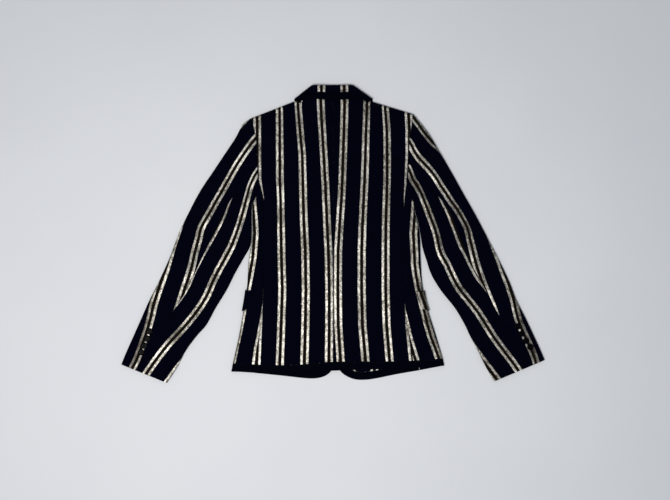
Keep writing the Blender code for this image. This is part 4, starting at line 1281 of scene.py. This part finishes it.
def stitched(name, paths, slot, spacing=None, length=None):
    """Sews stitches along paths and keeps them as a plain mesh."""
    look = bpy.context.scene.blazer
    guide = paths_object(name + "_guide", paths)
    tree = bpy.data.node_groups.get("Stitches along a guide") or stitch_tree()
    sewing = guide.modifiers.new("Stitches", "NODES")
    sewing.node_group = tree
    values = {
        "Stitch spacing": spacing or look.stitch_spacing,
        "Stitch length": length or look.stitch_length,
        "Thread radius": look.thread_radius,
        "Thread": finish_named("Dark sewing thread"),
    }
    for item in tree.interface.items_tree:
        if item.in_out == "INPUT" and item.name in values:
            sewing[item.identifier] = values[item.name]
    seen = guide.evaluated_get(bpy.context.evaluated_depsgraph_get())
    mesh = bpy.data.meshes.new_from_object(seen)
    bpy.data.objects.remove(guide, do_unlink=True)
    mesh.name = name
    mesh.shade_smooth()
    piece = add_object(name, mesh)
    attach(piece, "root")
    return piece


def laid_path(plan, lower_side=None):
    """A path laid on the upper layer, or on the underside of the lower one."""
    x, y = plan[:, 0], plan[:, 1]
    if lower_side:
        z = lift(x, y, lower_side) + ridges(UNDER_CREASES, x, y) - STITCH_RISE
        z = np.maximum(z, LOWEST_STITCH)
    else:
        z = top(x, y) + STITCH_RISE - STITCH_DIP * seam_dip(x, y)
    return np.column_stack((x, y, z)).tolist()


class Shader:
    """A short way to build one material's nodes."""

    def __init__(self, name):
        self.material = bpy.data.materials.new(name)
        self.material.use_nodes = True
        self.tree = self.material.node_tree
        self.surface = self.tree.nodes["Principled BSDF"]
        self.here = self.node("ShaderNodeTexCoord", output=3)

    def node(self, kind, inputs=(), output=0, **values):
        return add_node(self.tree, kind, inputs, **values).outputs[output]

    def math(self, operation, a, b=0.0):
        return self.node("ShaderNodeMath", ((0, a), (1, b)), operation=operation)

    def noise(self, scale, detail=2.0, roughness=0.5, vector=None):
        """Noise on the object's own coordinates, or on another vector."""
        names = "Scale", "Vector", "Detail", "Roughness"
        return self.node("ShaderNodeTexNoise", zip(names, (scale, vector or self.here, detail, roughness)))

    def cloth(self):
        """The cloth's own coordinates: stripe count and length."""
        return self.node("ShaderNodeUVMap", uv_map="Cloth")

    def cells(self, across, along):
        """The cloth's coordinates in cells: how many to a stripe count, and their length in mm."""
        scale = (across, 1 / (along * MM), 1.0)
        return self.node("ShaderNodeMapping", (("Vector", self.cloth()), ("Scale", scale)))

    def ribs(self, vector, direction, distortion):
        inputs = (("Vector", vector), ("Scale", RIB_SCALE), ("Distortion", distortion), ("Detail", 1.0))
        return self.node("ShaderNodeTexWave", inputs, bands_direction=direction)

    def between(self, value, limits, ends=(0.0, 1.0)):
        """The value's place between two limits, clamped to the two ends."""
        names = "Value", "From Min", "From Max", "To Min", "To Max"
        return self.node("ShaderNodeMapRange", zip(names, (value, *limits, *ends)), clamp=True)

    def blend(self, share, a, b):
        """One colour turning into another. Each is a socket or three values."""
        a, b = (c if isinstance(c, bpy.types.NodeSocket) else (*c, 1.0) for c in (a, b))
        return self.node("ShaderNodeMix", ((0, share), (6, a), (7, b)), output=2, data_type="RGBA")

    def bump(self, height, distance, strength):
        inputs = (("Height", height), ("Distance", distance), ("Strength", strength))
        return self.node("ShaderNodeBump", inputs)

    def finish(self, **sockets):
        for name, value in sockets.items():
            fill(self.surface.inputs[name.replace("_", " ")], value)
        return self.material


def striped_cloth(look):
    """Navy twill with pairs of speckled metallic stripes, counted by the first UV value, and painted shade
    that darkens the stripes by a point attribute.
    """
    s = Shader("Striped lurex cloth")
    stripes = s.node("ShaderNodeSeparateXYZ", ((0, s.cloth()),))
    repeat = size_of("stripe_spacing")
    ragged = s.math("MULTIPLY", s.math("SUBTRACT", s.noise(700.0), 0.5), STRIPE_RAGGED)
    turned = s.math("FRACT", s.math("ADD", stripes, 0.5))
    away = s.math("MULTIPLY", s.math("ABSOLUTE", s.math("SUBTRACT", turned, 0.5)), repeat)
    away = s.math("ADD", away, ragged)
    near = size_of("stripe_gap") / 2
    far = near + size_of("stripe_width")
    inner = s.between(away, (near - STRIPE_BLUR, near + STRIPE_BLUR))
    outer = s.between(away, (far + STRIPE_BLUR, far - STRIPE_BLUR))
    band = s.math("MULTIPLY", inner, outer)
    lurex = s.noise(1.0, detail=3.0, roughness=0.6, vector=s.cells(repeat / THREAD[0], THREAD[1]))
    specks = s.noise(360.0, roughness=0.6)
    mottle = s.noise(1.0, detail=3.0, roughness=0.7, vector=s.cells(repeat / MOTTLE[0], MOTTLE[1]))
    clouds = s.noise(22.0)
    glitter = 0.0
    for noise, weight in zip((lurex, specks, mottle, clouds), GLITTER_WEIGHTS):
        glitter = s.math("ADD", glitter, s.math("MULTIPLY", noise, weight))
    gold = s.blend(s.between(glitter, DULL_GLITTER), look.gold_dark, look.gold)
    gold = s.blend(s.between(glitter, BRIGHT_GLITTER), gold, look.gold_bright)
    # Painted shade: the stripes turn to a dark colour where the point attribute marks cloth turned from the
    # light
    painted_shade_factor = s.node("ShaderNodeAttribute", output=2, attribute_name="Glint")
    gold = s.blend(painted_shade_factor, look.gold_painted_shade, gold)
    ground = s.blend(s.between(specks, GROUND_SPECKS), look.ground, look.ground_light)
    gap = s.blend(s.math("SUBTRACT", 1.0, inner), ground, look.gap_colour)
    twill = s.ribs(s.cells(repeat / TWILL, TWILL), "DIAGONAL", distortion=0.8)
    raised = s.math("ADD", s.math("MULTIPLY", twill, 0.35), s.math("MULTIPLY", band, glitter))
    return s.finish(
        Base_Color=s.blend(band, gap, gold),
        Metallic=s.math("MULTIPLY", band, look.gold_metal),
        Roughness=s.between(band, (0.0, 1.0), (look.cloth_roughness, look.gold_roughness)),
        Normal=s.bump(raised, distance=0.0002, strength=0.5),
        Specular_IOR_Level=CLOTH_SPECULAR,
    )


def ribbed_border(look):
    """A plain dark band with fine crosswise ribs."""
    s = Shader("Black ribbed border")
    ribs = s.ribs(s.cells(1.0, BORDER_RIB), "Y", distortion=0.5)
    wear = s.noise(240.0, detail=3.0, roughness=0.6)
    return s.finish(
        Base_Color=s.blend(s.between(wear, (0.38, 0.64)), look.border, look.border_light),
        Roughness=s.between(wear, (0.3, 0.7), (0.58, 0.75)),
        Normal=s.bump(s.math("ADD", ribs, s.math("MULTIPLY", wear, 0.4)), distance=0.00018, strength=0.5),
        Specular_IOR_Level=CLOTH_SPECULAR,
    )


def polished_button(look):
    """Dark polished plastic with faint clouding and fine wear."""
    s = Shader("Polished dark button")
    clouds = s.noise(260.0, detail=3.0, roughness=0.6)
    scratch = s.noise(1500.0, roughness=0.7)
    return s.finish(
        Base_Color=s.blend(s.between(clouds, (0.35, 0.65)), look.button, look.button_light),
        Roughness=s.between(scratch, (0.3, 0.7), (0.16, 0.34)),
        Normal=s.bump(scratch, distance=0.00003, strength=0.4),
        Specular_IOR_Level=BUTTON_SPECULAR,
    )


def sewing_thread(look):
    """Dark twisted thread."""
    s = Shader("Dark sewing thread")
    twist = s.noise(2600.0, detail=1.0)
    return s.finish(
        Base_Color=s.blend(twist, look.thread, look.border_light),
        Roughness=THREAD_ROUGHNESS,
        Normal=s.bump(twist, distance=0.0001, strength=0.5),
        Specular_IOR_Level=THREAD_SPECULAR,
    )


def pale_surface(look):
    """The smooth pale surface that the blazer lies on."""
    s = Shader("Pale surface")
    grain = s.noise(3.0, detail=3.0)
    return s.finish(
        Base_Color=s.blend(s.between(grain, (0.3, 0.7)), look.floor_shade, look.floor),
        Roughness=SURFACE_ROUGHNESS,
        Specular_IOR_Level=SURFACE_SPECULAR,
    )


FINISHES = {
    "Striped lurex cloth": striped_cloth,
    "Black ribbed border": ribbed_border,
    "Polished dark button": polished_button,
    "Dark sewing thread": sewing_thread,
    "Pale surface": pale_surface,
}


def finish_named(name):
    """The finish of that name, made on first use."""
    return bpy.data.materials.get(name) or FINISHES[name](bpy.context.scene.blazer)


def size_property(name, value, words, low=0.0):
    return FloatProperty(name=name, default=value, min=low, unit="LENGTH", precision=5, description=words)


def colour_property(name, value, words):
    return FloatVectorProperty(
        name=name, default=value, size=3, min=0.0, max=1.0, subtype="COLOR", description=words
    )


class BlazerLook(bpy.types.PropertyGroup):
    """Sizes and colours of the blazer's cloth, border, buttons and stitches."""

    cloth_thickness: size_property("Cloth thickness", 0.0014, "Thickness of each cloth shell")
    crease_depth: FloatProperty(name="Crease depth", default=1.3, description="Scales the soft creases")
    seam_depth: size_property("Seam depth", 0.0008, "How far the cloth rolls down at a seam")
    collar_roll: size_property("Collar roll", 0.0021, "Radius of the roll along the collar's top edge")
    stripe_spacing: size_property("Stripe spacing", 0.05, "From one pair of stripes to the next")
    stripe_width: size_property("Stripe width", 0.0049, "Width of one stripe of a pair")
    stripe_gap: size_property("Stripe gap", 0.0067, "Gap between the two stripes of a pair")
    stitch_spacing: size_property("Stitch spacing", 0.0032, "From one stitch to the next")
    stitch_length: size_property("Stitch length", 0.0023, "Length of one stitch")
    thread_radius: size_property("Thread radius", 0.00022, "Radius of the sewing thread")
    hole_radius: size_property("Hole radius", 0.0009, "Radius of a button's thread holes")
    hole_spread: size_property("Hole spread", 0.0015, "Distance of the holes from the button's middle lines")
    gold_metal: FloatProperty(name="Stripe metal", default=0.36, min=0.0, max=1.0, description="How metallic")
    gold_roughness: FloatProperty(name="Stripe roughness", default=0.42, description="How rough")
    cloth_roughness: FloatProperty(name="Cloth roughness", default=0.8, description="Roughness of the ground")
    ground: colour_property("Ground", (0.0004, 0.0006, 0.0024), "Dark cloth between the stripes")
    ground_light: colour_property("Ground, light threads", (0.0009, 0.0014, 0.0068), "Its lighter threads")
    gap_colour: colour_property("Stripe gap colour", (0.006, 0.0045, 0.003), "Between a pair's stripes")
    gold: colour_property("Stripe", (0.36, 0.34, 0.30), "Metallic stripe")
    gold_dark: colour_property("Stripe, dull threads", (0.065, 0.057, 0.046), "Its dull threads")
    # Colour of the painted shade on the stripes, where the cloth turns from the light
    gold_painted_shade: colour_property("Stripe, turned away", (0.03, 0.024, 0.018), "Turned from the light")
    gold_bright: colour_property("Stripe, bright threads", (0.9, 0.87, 0.8), "Its bright threads")
    border: colour_property("Border", (0.0003, 0.0006, 0.0022), "Plain band")
    border_light: colour_property("Border, worn", (0.0007, 0.0011, 0.0040), "Its lighter ribs")
    button: colour_property("Button", (0.0006, 0.0006, 0.0009), "Polished button")
    button_light: colour_property("Button, clouding", (0.002, 0.002, 0.0028), "Its lighter clouds")
    thread: colour_property("Thread", (0.0015, 0.0016, 0.003), "Sewing thread")
    floor: colour_property("Surface", (0.67, 0.685, 0.71), "Surface under the blazer")
    floor_shade: colour_property("Surface, shaded", (0.645, 0.66, 0.69), "Its faint clouds")


class BlazerStage(bpy.types.PropertyGroup):
    """Sizes and strengths of the surface, the lights and the camera."""

    floor_size: size_property("Surface size", 8.0, "Side of the surface")
    camera_height: size_property("Camera height", 2.047, "Height of the camera over the surface")
    camera_x: size_property("Camera across", 0.0044, "Camera's place across the blazer", low=-1.0)
    camera_y: size_property("Camera along", -0.0352, "Camera's place along the blazer", low=-1.0)
    lens: FloatProperty(name="Lens", default=50.0, min=1.0, description="Focal length in millimetres")
    sky: FloatProperty(name="Soft light", default=0.36, min=0.0, description="Strength all round")
    key_power: FloatProperty(name="Key light", default=31.5, unit="POWER", description="Large light's power")
    fill_power: FloatProperty(name="Fill light", default=1.5, unit="POWER", description="Second light")


class Maker:
    """Shared by the operators: they work in any mode and can be undone."""

    bl_options = {"REGISTER", "UNDO"}


class BLAZER_OT_stage(Maker, bpy.types.Operator):
    """Lay the pale surface and set the lights and the camera"""

    bl_idname = "blazer.stage"
    bl_label = "Surface, Lights and Camera"

    def execute(self, context):
        scene, sizes = context.scene, context.scene.blazer_stage
        half = sizes.floor_size / 2
        mesh = bpy.data.meshes.new("Surface")
        corners = [(-half, -half), (half, -half), (half, half), (-half, half)]
        mesh.from_pydata([(x, y, SURFACE_LEVEL) for x, y in corners], [], [(0, 1, 2, 3)])
        mesh.materials.append(finish_named("Pale surface"))
        surface = add_object("Surface", mesh)
        world = bpy.data.worlds.new("Soft studio")
        world.use_nodes = True
        sky = world.node_tree.nodes["Background"]
        sky.inputs["Color"].default_value = SKY_COLOUR
        sky.inputs["Strength"].default_value = sizes.sky
        scene.world = world
        for name, power, place, size, tint in LAMPS:
            light = bpy.data.lights.new(name, "AREA")
            light.energy = getattr(sizes, power)
            light.size = size
            light.color = tint
            lamp = add_object(name, light)
            lamp.location = place
            lamp.rotation_euler = look_at(place, (0.0, 0.0, 0.0))
        lens = bpy.data.cameras.new("Camera")
        lens.lens = sizes.lens
        camera = add_object("Camera", lens)
        camera.location = (sizes.camera_x, sizes.camera_y, sizes.camera_height)
        scene.camera = camera
        scene.view_settings.view_transform = "Standard"
        return {"FINISHED"}


def look_at(place, target):
    """Rotation that points a lamp from its place to a target."""
    dx, dy, dz = (b - a for a, b in zip(place, target))
    return math.atan2(math.hypot(dx, dy), -dz), 0.0, math.atan2(-dx, dy)


class BLAZER_OT_body(Maker, bpy.types.Operator):
    """Make the back halves, the side panels and the fronts"""

    bl_idname = "blazer.body"
    bl_label = "Back, Sides and Fronts"

    def execute(self, context):
        for side in SIDES:
            make_front(side)
            make_side(side)
            make_back(side)
        return {"FINISHED"}


class BLAZER_OT_sleeves(Maker, bpy.types.Operator):
    """Make the topsleeves and undersleeves"""

    bl_idname = "blazer.sleeves"
    bl_label = "Sleeves"

    def execute(self, context):
        for side in SIDES:
            make_sleeve(side)
        return {"FINISHED"}


class BLAZER_OT_collar(Maker, bpy.types.Operator):
    """Make the collar fall, its border, its stand and the lapels"""

    bl_idname = "blazer.collar"
    bl_label = "Collar and Lapels"

    def execute(self, context):
        across = stripes_from(COLLAR_STRIPE)
        fall_end = COLLAR_BORDER_START - COLLAR_BORDER_GAP
        make_collar_band("collar", 0.0, fall_end, COLLAR_ROWS, across, False)
        make_collar_band("collar_border", COLLAR_BORDER_START, 1.0, COLLAR_BORDER_ROWS, across, True)
        make_stand()
        for side in SIDES:
            make_lapel(side)
        return {"FINISHED"}


class BLAZER_OT_borders(Maker, bpy.types.Operator):
    """Make the plain borders of the hem and the fronts"""

    bl_idname = "blazer.borders"
    bl_label = "Borders"

    def execute(self, context):
        make_hem_border()
        for side in SIDES:
            make_front_border(side)
        return {"FINISHED"}


class BLAZER_OT_flaps(Maker, bpy.types.Operator):
    """Make the pocket flaps"""

    bl_idname = "blazer.flaps"
    bl_label = "Pocket Flaps"

    def execute(self, context):
        for side in SIDES:
            make_flap(side)
        return {"FINISHED"}


class BLAZER_OT_buttons(Maker, bpy.types.Operator):
    """Make the cuff buttons and the front button"""

    bl_idname = "blazer.buttons"
    bl_label = "Buttons"

    def execute(self, context):
        for side in SIDES:
            for number, (x, y) in enumerate(CUFF_BUTTONS[side], 1):
                make_button(f"cuff_button_{side}_{number}", x, y, seat(x, y), CUFF_BUTTON_SIZE)
        make_button("front_button", *FRONT_BUTTON, 0.0, FRONT_BUTTON_SIZE)
        return {"FINISHED"}


class BLAZER_OT_stitches(Maker, bpy.types.Operator):
    """Sew the stitches along the borders, and the buttons' threads"""

    bl_idname = "blazer.stitches"
    bl_label = "Stitches"

    def execute(self, context):
        x = np.linspace(*HEM_STITCHES)
        hem = np.column_stack((x, np.interp(x, HEM_X, HEM_TOP) - HEM_STITCH_INSET))
        stitched("hem_stitches", [laid_path(hem)], "black_border")
        along = np.linspace(0, 1, FRONT_STITCHES)
        paths = []
        for side in SIDES:
            edge_out, edge_in = front_border_edges(side)
            plan = mix(edge_out(along), edge_in(along), FRONT_STITCH_SHARE)
            paths.append(laid_path(plan, side))
        stitched("front_border_stitches", paths, "black_border")
        threads = []
        for side in SIDES:
            for x, y in CUFF_BUTTONS[side]:
                threads += thread_runs(x, y, seat(x, y) + BUTTON_THREAD[0])
        stitched("button_threads", threads, "black_button", *BUTTON_THREAD[2:])
        return {"FINISHED"}


MAKERS = (
    BLAZER_OT_stage,
    BLAZER_OT_body,
    BLAZER_OT_sleeves,
    BLAZER_OT_collar,
    BLAZER_OT_borders,
    BLAZER_OT_flaps,
    BLAZER_OT_buttons,
    BLAZER_OT_stitches,
)


class BLAZER_PT_sidebar(bpy.types.Panel):
    """Sizes, colours and makers of the blazer"""

    bl_idname = "BLAZER_PT_sidebar"
    bl_label = "Striped Blazer"
    bl_space_type = "VIEW_3D"
    bl_region_type = "UI"
    bl_category = "Blazer"

    def draw(self, context):
        for group in (context.scene.blazer, context.scene.blazer_stage):
            column = self.layout.column(align=True)
            for name in group.__annotations__:
                column.prop(group, name)
        for maker in MAKERS:
            self.layout.operator(maker.bl_idname)


CLASSES = (BlazerLook, BlazerStage, *MAKERS, BLAZER_PT_sidebar)


def register():
    for cls in CLASSES:
        bpy.utils.register_class(cls)
    bpy.types.Scene.blazer = PointerProperty(type=BlazerLook)
    bpy.types.Scene.blazer_stage = PointerProperty(type=BlazerStage)


def unregister():
    del bpy.types.Scene.blazer_stage
    del bpy.types.Scene.blazer
    for cls in reversed(CLASSES):
        bpy.utils.unregister_class(cls)


def main():
    register()
    for maker in MAKERS:
        group, name = maker.bl_idname.split(".")
        getattr(getattr(bpy.ops, group), name)()


if __name__ == "__main__":
    main()
